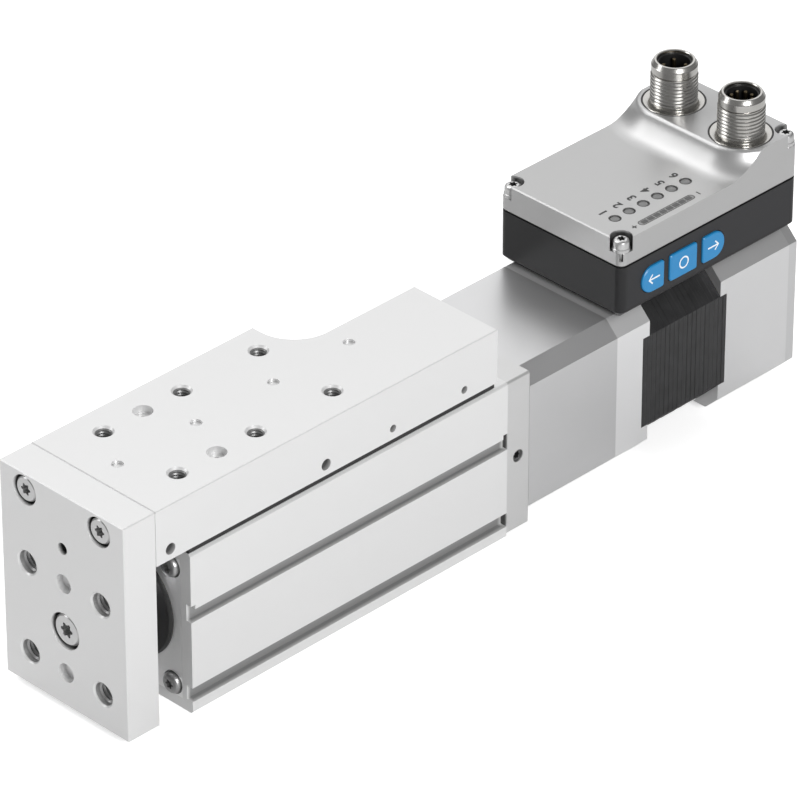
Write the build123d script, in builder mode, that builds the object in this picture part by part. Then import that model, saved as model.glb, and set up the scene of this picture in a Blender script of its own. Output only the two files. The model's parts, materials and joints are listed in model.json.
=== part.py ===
from build123d import *

import os

# Electric slide actuator, in millimetres. The base of the guided body lies on Z = 0 with its middle at the origin.
# Y runs from the yoke plate at the front to the motor at the rear, and +X is the side with the buttons.

# Body profile and the line of the screw, the piston rod and the motor
body_width = 42.0
body_height = 44.7
body_length = 105.0
body_edge = 0.6
axis_height = 23.3
stroke = 50.0
bore_radius = 13.5

# Clearances
running_gap = 0.05
play = 0.3
hole_play = 0.1

# Sensor slots in the sides of the body
slot_low = 25.7
slot_opening = 3.4
slot_depth = 1.6
slot_mouth_height = 4.6
slot_mouth_length = 1.4
foot_slot_low = 3.4
foot_slot_opening = 3.9
foot_slot_depth = 2.0

# Mounting holes in the base
base_hole_x = 30.0
base_hole_y = 75.0
base_hole_depth = 6.0

# Metric screws: thread radius, head radius and head height
m5_core = 2.1
m5_mouth = 2.6
m3_radius = 1.5
m3_head = 2.75
m3_head_height = 3.0
m4_radius = 2.0
m6_radius = 3.0
recess_depth_share = 0.55
recess_share = 0.48
recess_core_share = 0.72
lobe_share = 0.24
lobe_count = 6
head_edge_share = 0.12

# Yoke plate
plate_thickness = 10.0
plate_bottom = 2.0
plate_edge = 0.25
yoke_gap = 10.5
mount_pitch = 25.0
plate_row_low = 11.5
yoke_mouth_radius = 3.4
locating_radius = 2.5
locating_depth = 2.0
locating_core_radius = 0.9
locating_core_depth = 4.0
vent_radius = 1.55
vent_height = 46.3
yoke_screw_height = 56.7
yoke_screw_x = 12.5
yoke_well_radius = 3.95
yoke_head_radius = 3.3
yoke_head_height = 4.0
yoke_well_depth = 4.4
yoke_screw_length = 16.0
rod_well_radius = 4.85
rod_head_radius = 4.2
rod_head_height = 5.0
rod_well_depth = 5.5
rod_screw_length = 14.0

# Slide table
table_top = 61.4
table_underside = 46.45
table_length = 111.8
table_edge = 0.2
notch_length = 40.5
notch_depth = 14.0
notch_radius = 11.0
pocket_width = 22.0
table_web = 8.0
table_hole_depth = 7.0
first_row = 15.0
table_row_x = 12.5
table_locating_step = 12.5
side_hole_height = 49.4
side_hole_depth = 6.0
stop_hole_radius = 1.5
small_hole_radius = 1.0
stop_hole_first = 4.5
stop_hole_step = 50.0
small_hole_first = 76.6
small_hole_step = 24.0

# Guide rail under the table and the blocks on the body
rail_width = 9.0
rail_height = 5.5
rail_groove = 0.6
rail_front_gap = 2.0
rail_rear_gap = 1.0
rail_pitch = 25.0
rail_first = 7.8
rail_screw_gap = 0.6
block_width = 20.0
block_height = 7.2
block_length = 19.0
block_cap = 2.0
block_spacing = 24.0
block_front_gap = 1.5
block_floor = 2.7
block_screw_x = 7.5
block_screw_y = 4.5
block_screw_head_low = 37.5

# Front cover, seal and bush
cover_inset = 3.5
cover_low = 2.9
cover_high = 41.9
front_cover_thickness = 5.0
cover_screw_inset = 6.6
cover_screw_low = 6.0
cover_screw_high = 38.8
cover_screw_length = 12.0
pan_head_radius = 2.7
pan_head_height = 2.0
pan_well_radius = 3.1
pan_well_depth = 0.6
seal_radius = 15.0
seal_thickness = 3.0
seal_proud = 1.0
bush_radius = 10.0
bush_length = 11.0

# Piston rod, ball nut and ball screw
rod_radius = 8.0
rod_bore = 5.8
rod_plug = 13.0
nut_radius = 11.5
nut_length = 24.0
nut_stop_gap = 1.0
ring_width = 6.0
screw_radius = 5.0
screw_overrun = 3.0
journal_radius = 4.0
tail_radius = 3.0

# Screw bearing and end buffer in the rear cover
bearing_radius = 9.5
bearing_width = 8.0
bearing_front = 46.5
ball_radius = 1.5
ball_circle_radius = 6.75
ball_count = 9
land_outer = 7.9
land_inner = 5.6
spigot_length = 8.0
shoulder_bore = 6.5
buffer_thickness = 1.5
buffer_radius = 12.5
buffer_bore = 7.0

# Rear cover
rear_cover_thickness = 7.5
rear_cover_bottom = 1.0
rear_cover_edge = 0.5
rear_screw_length = 14.0
side_plug_height = 22.2
side_plug_radius = 1.7
side_plug_depth = 5.0
side_plug_inset = 0.5
plug_recess_share = 0.65

# Motor section shared by the coupling housing, the flange and the rear housing
motor_side = 42.3
motor_chamfer = 4.0
motor_bolt_square = 31.0
housing_length = 30.7
housing_bore = 14.0
housing_web = 3.0
housing_screw_half = 8.4
housing_screw_radius = 1.25
housing_screw_head = 2.1
housing_screw_head_height = 2.0
housing_screw_length = 7.0
pilot_radius = 11.0
pilot_length = 2.0
flange_length = 9.2
lug_length = 2.3
lamination_length = 30.2
lamination_inset = 0.25
lamination_chamfer = 8.2
lamination_groove = 0.3
lamination_groove_width = 0.6
lamination_groove_count = 8
rear_housing_length = 22.8
end_plate_thickness = 2.8
end_well_depth = 2.2

# Coupling
hub_radius = 9.5
hub_length = 8.8
spider_length = 7.0
coupling_front_gap = 3.5
jaw_count = 3
jaw_angle = 36.0
jaw_bore = 4.5
spider_arm_width = 1.8
spider_core = 4.2

# Motor inside
shaft_radius = 2.5
shaft_rear_reach = 12.0
motor_bearing_radius = 8.0
motor_bearing_width = 5.0
motor_web = 4.0
rotor_radius = 11.5
rotor_end_gap = 1.6
stator_bore = 11.8
slot_count = 8
winding_inner = 12.9
winding_outer = 17.0
winding_width = 6.0
winding_reach = 2.5
winding_room = 18.0
winding_room_depth = 3.0
magnet_radius = 3.0
magnet_length = 2.5
board_thickness = 1.6
encoder_gap = 2.0

# Drive box
drive_width = 41.1
drive_length = 63.6
drive_corner = 2.0
drive_wall = 2.2
base_top = 59.0
base_foot_edge = 1.8
base_floor = 2.0
gasket_thickness = 0.6
gasket_inset = 0.4
cover_low_top = 66.8
cover_high_top = 72.3
cover_wall = 2.0
cover_edge = 0.6
platform_front = 43.7
platform_corner = 9.5
platform_roof = 4.0
ramp_radius = 8.2
ramp_crest = 1.2
drive_screw_inset = 2.3
drive_screw_radius = 1.25
drive_head_radius = 2.1
drive_head_height = 1.8
drive_well_radius = 2.8
drive_well_depth = 3.9
corner_slit_width = 0.9
corner_slit_depth = 2.0
drive_screw_length = 9.0
post_radius = 3.6
board_height = 48.6
standoff_radius = 2.0
standoff_x = 12.0
standoff_y = 20.0
switch_width = 4.0
base_screw_y = 10.0
base_screw_length = 5.0

# Control panel and buttons
panel_thickness = 0.8
panel_height = 11.6
panel_length = 58.6
panel_middle = 52.8
button_height = 52.1
button_size = 7.4
button_first = 7.3
side_button_length = 7.8
middle_button_length = 9.7
button_spacing = 2.1
button_corner = 0.8
button_proud = 0.5
button_travel = 0.4
button_play = 0.2
stem_radius = 1.2
stem_length = 3.4

# Status lights and level window in the drive cover
light_radius = 1.5
light_count = 6
light_pitch = 5.03
light_inset = 9.05
light_first = 7.2
window_inset = 2.95
window_width = 1.8
window_length = 19.0
window_first = 9.5

# Round plug sockets
socket_inset = 9.25
socket_from_rear = 11.2
socket_radius = 6.0
socket_height = 11.8
socket_mouth = 4.4
socket_mouth_depth = 8.5
socket_flange = 7.8
socket_flange_depth = 1.8
socket_seal_width = 0.4
socket_tail_radius = 5.4
socket_tail_length = 4.0
socket_room_radius = 6.2
collar_radius = 5.6
collar_height = 2.6
insert_thickness = 2.0
pin_radius = 0.5
pin_length = 5.0
pin_circle_radius = 2.75
power_pin_count = 4
signal_pin_count = 8

# Places along Y
body_front = -body_length / 2
body_rear = body_length / 2
plate_back = body_front - yoke_gap
plate_front = plate_back - plate_thickness
table_rear = plate_back + table_length
rear_cover_rear = body_rear + rear_cover_thickness
housing_rear = rear_cover_rear + housing_length
flange_rear = housing_rear + flange_length
stack_rear = flange_rear + lamination_length
motor_rear = stack_rear + rear_housing_length
drive_rear = motor_rear + end_plate_thickness
drive_front = drive_rear - drive_length
drive_middle = (drive_front + drive_rear) / 2

# Heights
table_ceiling = table_top - table_web
motor_top = axis_height + motor_side / 2
cover_bottom = base_top + gasket_thickness

# Sideways places that follow the width of the body or of the drive box
half_width = body_width / 2
cover_screw_x = half_width - cover_screw_inset
drive_half = drive_width / 2
light_x = drive_half - light_inset
window_x = drive_half - window_inset
socket_x = drive_half - socket_inset

screw_axis = Axis((0, 0, axis_height), (0, 1, 0))
axis_plane = Plane(origin=(0, 0, axis_height), x_dir=(0, 1, 0), z_dir=(1, 0, 0))


def facing_front(y, height=0.0):
    """Plane square to Y that is seen from the front: its x is X, its y is Z, and its normal is -Y."""
    return Plane(origin=(0, y, height), x_dir=(1, 0, 0), z_dir=(0, -1, 0))


def facing_rear(y, height=0.0):
    """Plane square to Y that is seen from the rear: its x is -X, its y is Z, and its normal is +Y."""
    return Plane(origin=(0, y, height), x_dir=(-1, 0, 0), z_dir=(0, 1, 0))


def corners(half_x, low, high):
    """Four spots at two heights, on both sides of the middle."""
    return [(x, z) for x in (-half_x, half_x) for z in (low, high)]


def turning(*steps, bore=0.0):
    """Half section of a turned piece about the screw's axis, from steps of (front, rear, radius)."""
    with BuildSketch(axis_plane) as half:
        for front, rear, radius in steps:
            with Locations(((front + rear) / 2, (radius + bore) / 2)):
                Rectangle(rear - front, radius - bore)
    return half.sketch


def motor_section(plane, chamfer_size=motor_chamfer, inset=0.0):
    """Square with cut corners, centred on the motor's axis."""
    with BuildSketch(plane) as section:
        Rectangle(motor_side - 2 * inset, motor_side - 2 * inset)
        chamfer(section.vertices(), chamfer_size - inset)
    return section.sketch


def recess(plane, spots, radius):
    """Six-lobed recess for the driver at each spot."""
    with BuildSketch(plane) as star:
        with Locations(*spots):
            Circle(radius * recess_core_share)
            with PolarLocations(radius * (1 - lobe_share), lobe_count):
                Circle(radius * lobe_share)
    return star.sketch


def screws(plane, spots, shank_radius, length, head_radius, head_height, dome=0.0):
    """Screws whose heads stand on the plane and whose shanks go down through it."""
    with BuildPart() as group:
        with Locations(plane):
            with Locations(*spots):
                Cylinder(head_radius, head_height, align=(Align.CENTER, Align.CENTER, Align.MIN))
        rims = group.faces().sort_by(Axis(plane.origin, plane.z_dir))[-len(spots):].edges()
        if dome:
            fillet(rims, dome)
        else:
            chamfer(rims, head_radius * head_edge_share)
        with Locations(plane):
            with Locations(*spots):
                Cylinder(shank_radius, length, align=(Align.CENTER, Align.CENTER, Align.MAX))
        recesses = recess(plane.offset(head_height), spots, head_radius * recess_share)
        extrude(recesses, amount=-head_height * recess_depth_share, mode=Mode.SUBTRACT)
    return group.part


def drive_outline(plane, inset=0.0):
    """Rounded outline of the drive box, set in by an amount on every side."""
    with BuildSketch(plane) as outline:
        with Locations((0, drive_middle)):
            RectangleRounded(drive_width - 2 * inset, drive_length - 2 * inset, max(drive_corner - inset, 0.5))
    return outline.sketch


# Body profile: bore, sensor slots, a pocket for the front cover and tapped holes
cover_width = body_width - 2 * cover_inset
cover_spots = corners(cover_screw_x, cover_screw_low, cover_screw_high)
block_middle = body_front + block_front_gap + block_cap + block_length / 2
block_rows = [block_middle, block_middle + block_spacing]
block_spots = [
    (x, row + dy) for row in block_rows for x in (-block_screw_x, block_screw_x) for dy in (-block_screw_y, block_screw_y)
]
block_screw_seat = block_screw_head_low + m3_head_height

with BuildPart() as body_profile:
    with BuildSketch(facing_front(body_rear)) as section:
        with Locations((0, body_height / 2)):
            Rectangle(body_width, body_height)
        chamfer(section.vertices(), body_edge)
        for side in (-1, 1):
            with Locations((side * (half_width - slot_depth / 2), slot_low + slot_opening / 2)):
                Rectangle(slot_depth, slot_opening, mode=Mode.SUBTRACT)
            with Locations((side * (half_width - foot_slot_depth / 2), foot_slot_low + foot_slot_opening / 2)):
                Rectangle(foot_slot_depth, foot_slot_opening, mode=Mode.SUBTRACT)
        with Locations((0, axis_height)):
            Circle(bore_radius, mode=Mode.SUBTRACT)
    extrude(amount=body_length)
    # Taller mouths at both ends of the sensor slots, where a sensor drops in
    for side in (-1, 1):
        for end, inward in ((body_front, 1), (body_rear, -1)):
            with Locations(
                (side * (half_width - slot_depth / 2), end + inward * slot_mouth_length / 2, slot_low + slot_mouth_height / 2)
            ):
                Box(slot_depth, slot_mouth_length, slot_mouth_height, mode=Mode.SUBTRACT)
    with Locations((0, body_front + front_cover_thickness / 2, (cover_low + cover_high) / 2)):
        Box(cover_width, front_cover_thickness, cover_high - cover_low, mode=Mode.SUBTRACT)
    with Locations(facing_front(body_front)):
        with Locations(*cover_spots):
            Hole(m3_radius, front_cover_thickness + cover_screw_length)
    with Locations(facing_rear(body_rear)):
        with Locations(*cover_spots):
            Hole(m3_radius, rear_screw_length)
    with Locations(-Plane.XY):
        with GridLocations(base_hole_x, base_hole_y, 2, 2):
            Hole(m5_core, base_hole_depth)
    with Locations(Plane.XY.offset(body_height)):
        with Locations(*block_spots):
            Hole(m3_radius + hole_play, body_height - axis_height)
    with Locations(Plane.XY.offset(block_screw_seat)):
        with Locations(*block_spots):
            Hole(m3_head + play, block_screw_seat - axis_height)

# Front cover, flush in the end of the profile, with a boss that holds the rod's bush
front_cover_rear = body_front + front_cover_thickness
seal_rear = body_front + seal_thickness - seal_proud
with BuildPart() as front_cover:
    with Locations((0, body_front + front_cover_thickness / 2, (cover_low + cover_high) / 2)):
        Box(cover_width, front_cover_thickness, cover_high - cover_low)
    revolve(turning((front_cover_rear, seal_rear + bush_length, bore_radius)), axis=screw_axis)
    revolve(turning((body_front, seal_rear, seal_radius)), axis=screw_axis, mode=Mode.SUBTRACT)
    revolve(turning((seal_rear, seal_rear + bush_length, bush_radius)), axis=screw_axis, mode=Mode.SUBTRACT)
    with Locations(facing_front(body_front)):
        with Locations(*cover_spots):
            CounterBoreHole(m3_radius + hole_play, pan_well_radius, pan_well_depth, front_cover_thickness)

with BuildPart() as front_cover_screws:
    add(
        screws(
            facing_front(body_front + pan_well_depth), cover_spots, m3_radius, cover_screw_length, pan_head_radius, pan_head_height,
            dome=pan_head_height / 2,
        )
    )

with BuildPart() as rod_seal:
    revolve(turning((seal_rear - seal_thickness, seal_rear, seal_radius), bore=rod_radius + running_gap), axis=screw_axis)
    chamfer(rod_seal.faces().sort_by(Axis.Y)[0].edges().sort_by(SortBy.LENGTH)[-1], seal_proud / 2)

with BuildPart() as rod_bush:
    revolve(turning((seal_rear, seal_rear + bush_length, bush_radius), bore=rod_radius + running_gap), axis=screw_axis)

# Rear cover: plate with a spigot in the profile's bore that carries the screw's bearing
spigot_front = body_rear - spigot_length
bearing_rear = bearing_front + bearing_width
housing_screw_spots = corners(housing_screw_half, -housing_screw_half, housing_screw_half)
with BuildPart() as rear_cover:
    with Locations((0, (body_rear + rear_cover_rear) / 2, (rear_cover_bottom + body_height) / 2)):
        Box(body_width, rear_cover_thickness, body_height - rear_cover_bottom)
    chamfer(rear_cover.edges().filter_by(Axis.Y), rear_cover_edge)
    revolve(turning((spigot_front, body_rear, bore_radius)), axis=screw_axis)
    revolve(turning((bearing_front, rear_cover_rear, bearing_radius)), axis=screw_axis, mode=Mode.SUBTRACT)
    revolve(turning((spigot_front, bearing_front, shoulder_bore)), axis=screw_axis, mode=Mode.SUBTRACT)
    with Locations(facing_rear(rear_cover_rear)):
        with Locations(*cover_spots):
            CounterBoreHole(m3_radius + hole_play, m3_head + play, m3_head_height + hole_play, rear_cover_thickness)
    with Locations(facing_rear(rear_cover_rear, axis_height)):
        with Locations(*housing_screw_spots):
            Hole(housing_screw_radius, housing_screw_length - housing_web)
    with Locations(Plane.YZ.offset(half_width)):
        with Locations(((body_rear + rear_cover_rear) / 2, side_plug_height)):
            Hole(side_plug_radius, side_plug_depth + side_plug_inset)

with BuildPart() as rear_cover_screws:
    add(
        screws(
            facing_rear(rear_cover_rear - m3_head_height - hole_play), cover_spots, m3_radius, rear_screw_length, m3_head,
            m3_head_height,
        )
    )

with BuildPart() as cover_side_plug:
    with Locations(Plane.YZ.offset(half_width - side_plug_inset)):
        with Locations(((body_rear + rear_cover_rear) / 2, side_plug_height)):
            Cylinder(side_plug_radius, side_plug_depth, align=(Align.CENTER, Align.CENTER, Align.MAX))
    plug_spot = ((body_rear + rear_cover_rear) / 2, side_plug_height)
    plug_recess = recess(Plane.YZ.offset(half_width - side_plug_inset), [plug_spot], side_plug_radius * plug_recess_share)
    extrude(plug_recess, amount=-side_plug_radius, mode=Mode.SUBTRACT)

with BuildPart() as end_buffer:
    revolve(turning((spigot_front - buffer_thickness, spigot_front, buffer_radius), bore=buffer_bore), axis=screw_axis)

# Bearing of the screw: two rings with a ball track, and the balls between them
bearing_middle = (bearing_front + bearing_rear) / 2


def bearing_ring(inner, outer):
    """Half section of a bearing ring with its ball track."""
    with BuildSketch(axis_plane) as ring:
        with Locations((bearing_middle, (inner + outer) / 2)):
            Rectangle(bearing_width, outer - inner)
        with Locations((bearing_middle, ball_circle_radius)):
            Circle(ball_radius + running_gap, mode=Mode.SUBTRACT)
    return ring.sketch


with BuildPart() as screw_bearing_outer:
    revolve(bearing_ring(land_outer, bearing_radius), axis=screw_axis)

with BuildPart() as screw_bearing_inner:
    revolve(bearing_ring(journal_radius, land_inner), axis=screw_axis)

with BuildPart() as screw_bearing_balls:
    with Locations(facing_front(bearing_middle, axis_height)):
        with PolarLocations(ball_circle_radius, ball_count):
            Sphere(ball_radius)

# Ball screw, nut and piston rod
nut_rear = spigot_front - buffer_thickness - nut_stop_gap
nut_front = nut_rear - nut_length
screw_front = nut_front - stroke - screw_overrun
hub_front = rear_cover_rear + coupling_front_gap
hub_rear = hub_front + hub_length
with BuildPart() as ball_screw:
    revolve(
        turning(
            (screw_front, bearing_front, screw_radius),
            (bearing_front, bearing_rear, journal_radius),
            (bearing_rear, hub_rear, tail_radius),
        ),
        axis=screw_axis,
    )
    chamfer(ball_screw.faces().sort_by(Axis.Y)[0].edges(), body_edge)

with BuildPart() as ball_nut:
    revolve(turning((nut_front, nut_rear, nut_radius), bore=screw_radius + running_gap), axis=screw_axis)
    chamfer(ball_nut.edges().filter_by(GeomType.CIRCLE).group_by(SortBy.RADIUS)[-1], body_edge)

with BuildPart() as nut_guide_ring:
    ring_front = (nut_front + nut_rear - ring_width) / 2
    revolve(turning((ring_front, ring_front + ring_width, bore_radius - running_gap), bore=nut_radius), axis=screw_axis)

with BuildPart() as piston_rod:
    revolve(turning((plate_back, nut_front, rod_radius)), axis=screw_axis)
    revolve(turning((plate_back + rod_plug, nut_front, rod_bore)), axis=screw_axis, mode=Mode.SUBTRACT)
    with Locations(facing_front(plate_back, axis_height)):
        Hole(m6_radius, rod_screw_length)

# Yoke plate with its mounting face, and the screws that hold it
yoke_screw_spots = [(-yoke_screw_x, yoke_screw_height), (yoke_screw_x, yoke_screw_height)]
plate_rows = (plate_row_low, plate_row_low + mount_pitch)
with BuildPart() as yoke_plate:
    with Locations((0, (plate_front + plate_back) / 2, (plate_bottom + table_top) / 2)):
        Box(body_width, plate_thickness, table_top - plate_bottom)
    chamfer(yoke_plate.edges(), plate_edge)
    with Locations(facing_front(plate_front)):
        with Locations(*corners(mount_pitch / 2, *plate_rows)):
            CounterSinkHole(m6_radius, yoke_mouth_radius, plate_thickness, 90)
        with Locations(*[(0, row) for row in plate_rows]):
            Hole(locating_radius, locating_depth)
        with Locations((0, vent_height)):
            Hole(vent_radius, plate_thickness)
        with Locations(*yoke_screw_spots):
            CounterBoreHole(m4_radius + hole_play, yoke_well_radius, yoke_well_depth, plate_thickness)
        with Locations((0, axis_height)):
            CounterBoreHole(m6_radius + hole_play, rod_well_radius, rod_well_depth, plate_thickness)

with BuildPart() as yoke_screws:
    add(
        screws(
            facing_front(plate_front + yoke_well_depth), yoke_screw_spots, m4_radius, yoke_screw_length, yoke_head_radius,
            yoke_head_height,
        )
    )

with BuildPart() as rod_screw:
    add(
        screws(
            facing_front(plate_front + rod_well_depth, axis_height), [(0, 0)], m6_radius, rod_screw_length, rod_head_radius,
            rod_head_height,
        )
    )

# Slide table, cut away on one side at the rear
narrow_left = notch_depth - half_width
notch_front = table_rear - notch_length
table_rows = [plate_back + first_row + mount_pitch * row for row in range(3)]
rail_rows = [plate_back + rail_first + rail_pitch * row for row in range(4)]
rail_top = table_ceiling
rail_low = rail_top - rail_height
with BuildPart() as slide_table:
    with BuildSketch(Plane.XY.offset(table_underside)) as outline:
        with BuildLine():
            Polyline(
                (-half_width, plate_back), (half_width, plate_back), (half_width, table_rear), (narrow_left, table_rear),
                (narrow_left, notch_front), (-half_width, notch_front), close=True,
            )
        make_face()
        fillet(outline.vertices().sort_by_distance((narrow_left, notch_front))[0], notch_radius)
    extrude(amount=table_top - table_underside)
    chamfer(slide_table.faces().sort_by(Axis.Z)[-1].edges(), table_edge)
    with Locations((0, (plate_back + table_rear) / 2, table_underside)):
        Box(
            pocket_width, table_length, table_ceiling - table_underside,
            align=(Align.CENTER, Align.CENTER, Align.MIN), mode=Mode.SUBTRACT,
        )
    with Locations(Plane.XY.offset(table_top)):
        with Locations(*[(x, row) for x in (-table_row_x, table_row_x) for row in table_rows]):
            CounterSinkHole(m5_core, m5_mouth, table_hole_depth, 90)
        with Locations(*[(x, table_rows[0] + table_locating_step) for x in (-table_row_x, table_row_x)]):
            CounterBoreHole(locating_core_radius, locating_radius, locating_depth, locating_core_depth)
        with Locations(*[(0, row) for row in rail_rows]):
            Hole(m3_radius, table_web)
    with Locations(Plane.YZ.offset(half_width)):
        with Locations(*[(plate_back + stop_hole_first + stop_hole_step * n, side_hole_height) for n in range(2)]):
            Hole(stop_hole_radius, side_hole_depth)
        with Locations(*[(plate_back + small_hole_first + small_hole_step * n, side_hole_height) for n in range(2)]):
            Hole(small_hole_radius, side_hole_depth)
    with Locations(facing_front(plate_back)):
        with Locations(*yoke_screw_spots):
            Hole(m4_radius, yoke_screw_length)

# Rail under the table, running in two blocks on the body
rail_front = plate_back + rail_front_gap
rail_rear = table_rear - rail_rear_gap
rail_middle_height = (rail_low + rail_top) / 2
with BuildPart() as guide_rail:
    with BuildSketch(facing_front(rail_rear)):
        with Locations((0, rail_middle_height)):
            Rectangle(rail_width, rail_height)
        with Locations((-rail_width / 2, rail_middle_height), (rail_width / 2, rail_middle_height)):
            Circle(rail_groove, mode=Mode.SUBTRACT)
    extrude(amount=rail_rear - rail_front)
    with Locations(-Plane.XY.offset(rail_low)):
        with Locations(*[(0, -row) for row in rail_rows]):
            CounterBoreHole(m3_radius + hole_play, m3_head + hole_play, m3_head_height, rail_height)

with BuildPart() as rail_screws:
    add(
        screws(
            -Plane.XY.offset(rail_low + m3_head_height), [(0, -row) for row in rail_rows], m3_radius,
            rail_height - m3_head_height + table_web - rail_screw_gap, m3_head, m3_head_height - hole_play,
        )
    )


def block_section(plane, width, low, high):
    """Section of a guide block, with the channel that the rail runs in."""
    with BuildSketch(plane) as section:
        with Locations((0, (low + high) / 2)):
            Rectangle(width, high - low)
        chamfer(section.vertices().group_by(Axis.Z)[-1], body_edge)
        with Locations((0, body_height + block_floor)):
            Rectangle(
                rail_width + 2 * running_gap, block_height, align=(Align.CENTER, Align.MIN), mode=Mode.SUBTRACT
            )
    return section.sketch


block_top = body_height + block_height
with BuildPart() as guide_blocks:
    for row in block_rows:
        extrude(block_section(facing_front(row + block_length / 2), block_width, body_height, block_top), amount=block_length)
    with Locations(-Plane.XY.offset(body_height)):
        with Locations(*[(x, -y) for x, y in block_spots]):
            Hole(m3_radius, block_floor)

with BuildPart() as guide_block_caps:
    for row in block_rows:
        for end in (row - block_length / 2, row + block_length / 2 + block_cap):
            cap_section = block_section(facing_front(end), block_width - play, body_height + play, block_top - play)
            extrude(cap_section, amount=block_cap)

with BuildPart() as guide_block_screws:
    add(
        screws(
            -Plane.XY.offset(block_screw_seat), [(x, -y) for x, y in block_spots], m3_radius,
            body_height - block_screw_seat + block_floor - hole_play, m3_head, m3_head_height,
        )
    )

# Coupling housing
with BuildPart() as coupling_housing:
    extrude(motor_section(facing_front(housing_rear, axis_height)), amount=housing_length)
    revolve(turning((bearing_rear, rear_cover_rear, bearing_radius)), axis=screw_axis)
    revolve(turning((bearing_rear, housing_rear, shoulder_bore)), axis=screw_axis, mode=Mode.SUBTRACT)
    revolve(
        turning(
            (rear_cover_rear + housing_web, housing_rear - pilot_length, housing_bore),
            (housing_rear - pilot_length, housing_rear, pilot_radius),
        ),
        axis=screw_axis, mode=Mode.SUBTRACT,
    )
    with Locations(facing_rear(rear_cover_rear + housing_web, axis_height)):
        with Locations(*housing_screw_spots):
            Hole(housing_screw_radius + hole_play, housing_web)

with BuildPart() as housing_screws:
    add(
        screws(
            facing_rear(rear_cover_rear + housing_web, axis_height), housing_screw_spots, housing_screw_radius,
            housing_screw_length, housing_screw_head, housing_screw_head_height,
        )
    )

# Jaw coupling: two hubs whose jaws mesh with the arms of a spider
spider_rear = hub_rear + spider_length
motor_hub_rear = spider_rear + hub_length


def jaws(plane, first_turn):
    """Sectors of the jaws of one hub, seen from the front."""
    with BuildSketch(plane) as sectors:
        for jaw in range(jaw_count):
            turn = first_turn + 360 / jaw_count * jaw
            with BuildLine():
                outer = CenterArc((0, 0), hub_radius, turn - jaw_angle / 2, jaw_angle)
                inner = CenterArc((0, 0), jaw_bore, turn - jaw_angle / 2, jaw_angle)
                Line(outer @ 0, inner @ 0)
                Line(outer @ 1, inner @ 1)
            make_face()
    return sectors.sketch


with BuildPart() as coupling_hub_screw_side:
    revolve(turning((hub_front, hub_rear, hub_radius), bore=tail_radius), axis=screw_axis)
    extrude(jaws(facing_front(spider_rear, axis_height), 90), amount=spider_length)

with BuildPart() as coupling_hub_motor_side:
    revolve(turning((spider_rear, motor_hub_rear, hub_radius), bore=shaft_radius), axis=screw_axis)
    extrude(jaws(facing_front(spider_rear, axis_height), 90 + 180 / jaw_count), amount=spider_length)

with BuildPart() as coupling_spider:
    with BuildSketch(facing_front(spider_rear, axis_height)):
        Circle(spider_core)
        with PolarLocations(0, 2 * jaw_count, start_angle=90 + 90 / jaw_count):
            Rectangle(hub_radius, spider_arm_width, align=(Align.MIN, Align.CENTER))
    extrude(amount=spider_length)

# Motor: flange, laminations, windings, rear housing, end plate and their screws
bolt_half = motor_bolt_square / 2
bolt_spots = corners(bolt_half, -bolt_half, bolt_half)
motor_screw_front = housing_rear + pilot_length
stack_outline = motor_section(facing_front(stack_rear, axis_height), lamination_chamfer, lamination_inset)


def lugs(rear):
    """Four corners of the motor section that stand past a cap, beside the laminations."""
    with BuildSketch(facing_front(rear, axis_height)) as corner_lugs:
        add(motor_section(Plane.XY))
        add(motor_section(Plane.XY, lamination_chamfer, 0.0), mode=Mode.SUBTRACT)
    return corner_lugs.sketch


front_bearing_rear = flange_rear - motor_web + pilot_length
with BuildPart() as motor_front_flange:
    extrude(motor_section(facing_front(flange_rear, axis_height)), amount=flange_length)
    extrude(lugs(flange_rear + lug_length), amount=lug_length)
    revolve(turning((housing_rear - pilot_length, housing_rear, pilot_radius)), axis=screw_axis)
    revolve(
        turning(
            (housing_rear - pilot_length, front_bearing_rear - motor_bearing_width, shaft_radius + play),
            (front_bearing_rear - motor_bearing_width, flange_rear, motor_bearing_radius),
        ),
        axis=screw_axis, mode=Mode.SUBTRACT,
    )
    revolve(turning((flange_rear - winding_room_depth, flange_rear, winding_room)), axis=screw_axis, mode=Mode.SUBTRACT)
    with Locations(facing_rear(flange_rear + lug_length, axis_height)):
        with Locations(*bolt_spots):
            Hole(m3_radius, flange_rear + lug_length - motor_screw_front)

groove_pitch = lamination_length / (lamination_groove_count + 1)


def stack_rim(rear):
    """Rim of the stack's outline, which a groove cuts away."""
    with BuildSketch(facing_front(rear, axis_height)) as rim:
        add(motor_section(Plane.XY, lamination_chamfer, 0.0))
        add(motor_section(Plane.XY, lamination_chamfer, lamination_inset + lamination_groove), mode=Mode.SUBTRACT)
    return rim.sketch


with BuildPart() as motor_laminations:
    extrude(stack_outline, amount=lamination_length)
    for groove in range(lamination_groove_count):
        groove_rear = stack_rear - groove_pitch * (groove + 1) + lamination_groove_width / 2
        extrude(stack_rim(groove_rear), amount=lamination_groove_width, mode=Mode.SUBTRACT)
    with BuildSketch(facing_front(stack_rear, axis_height)) as stator_slots:
        Circle(stator_bore)
        with PolarLocations((winding_inner + winding_outer) / 2, slot_count):
            Rectangle(winding_outer - winding_inner, winding_width)
        with Locations(*bolt_spots):
            Circle(m3_radius + hole_play)
    extrude(amount=lamination_length, mode=Mode.SUBTRACT)

with BuildPart() as motor_windings:
    with BuildSketch(facing_front(stack_rear + winding_reach, axis_height)):
        with PolarLocations((winding_inner + winding_outer) / 2, slot_count):
            RectangleRounded(
                winding_outer - winding_inner - 2 * hole_play, winding_width - 2 * hole_play, winding_width / 4
            )
    extrude(amount=lamination_length + 2 * winding_reach)

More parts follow.
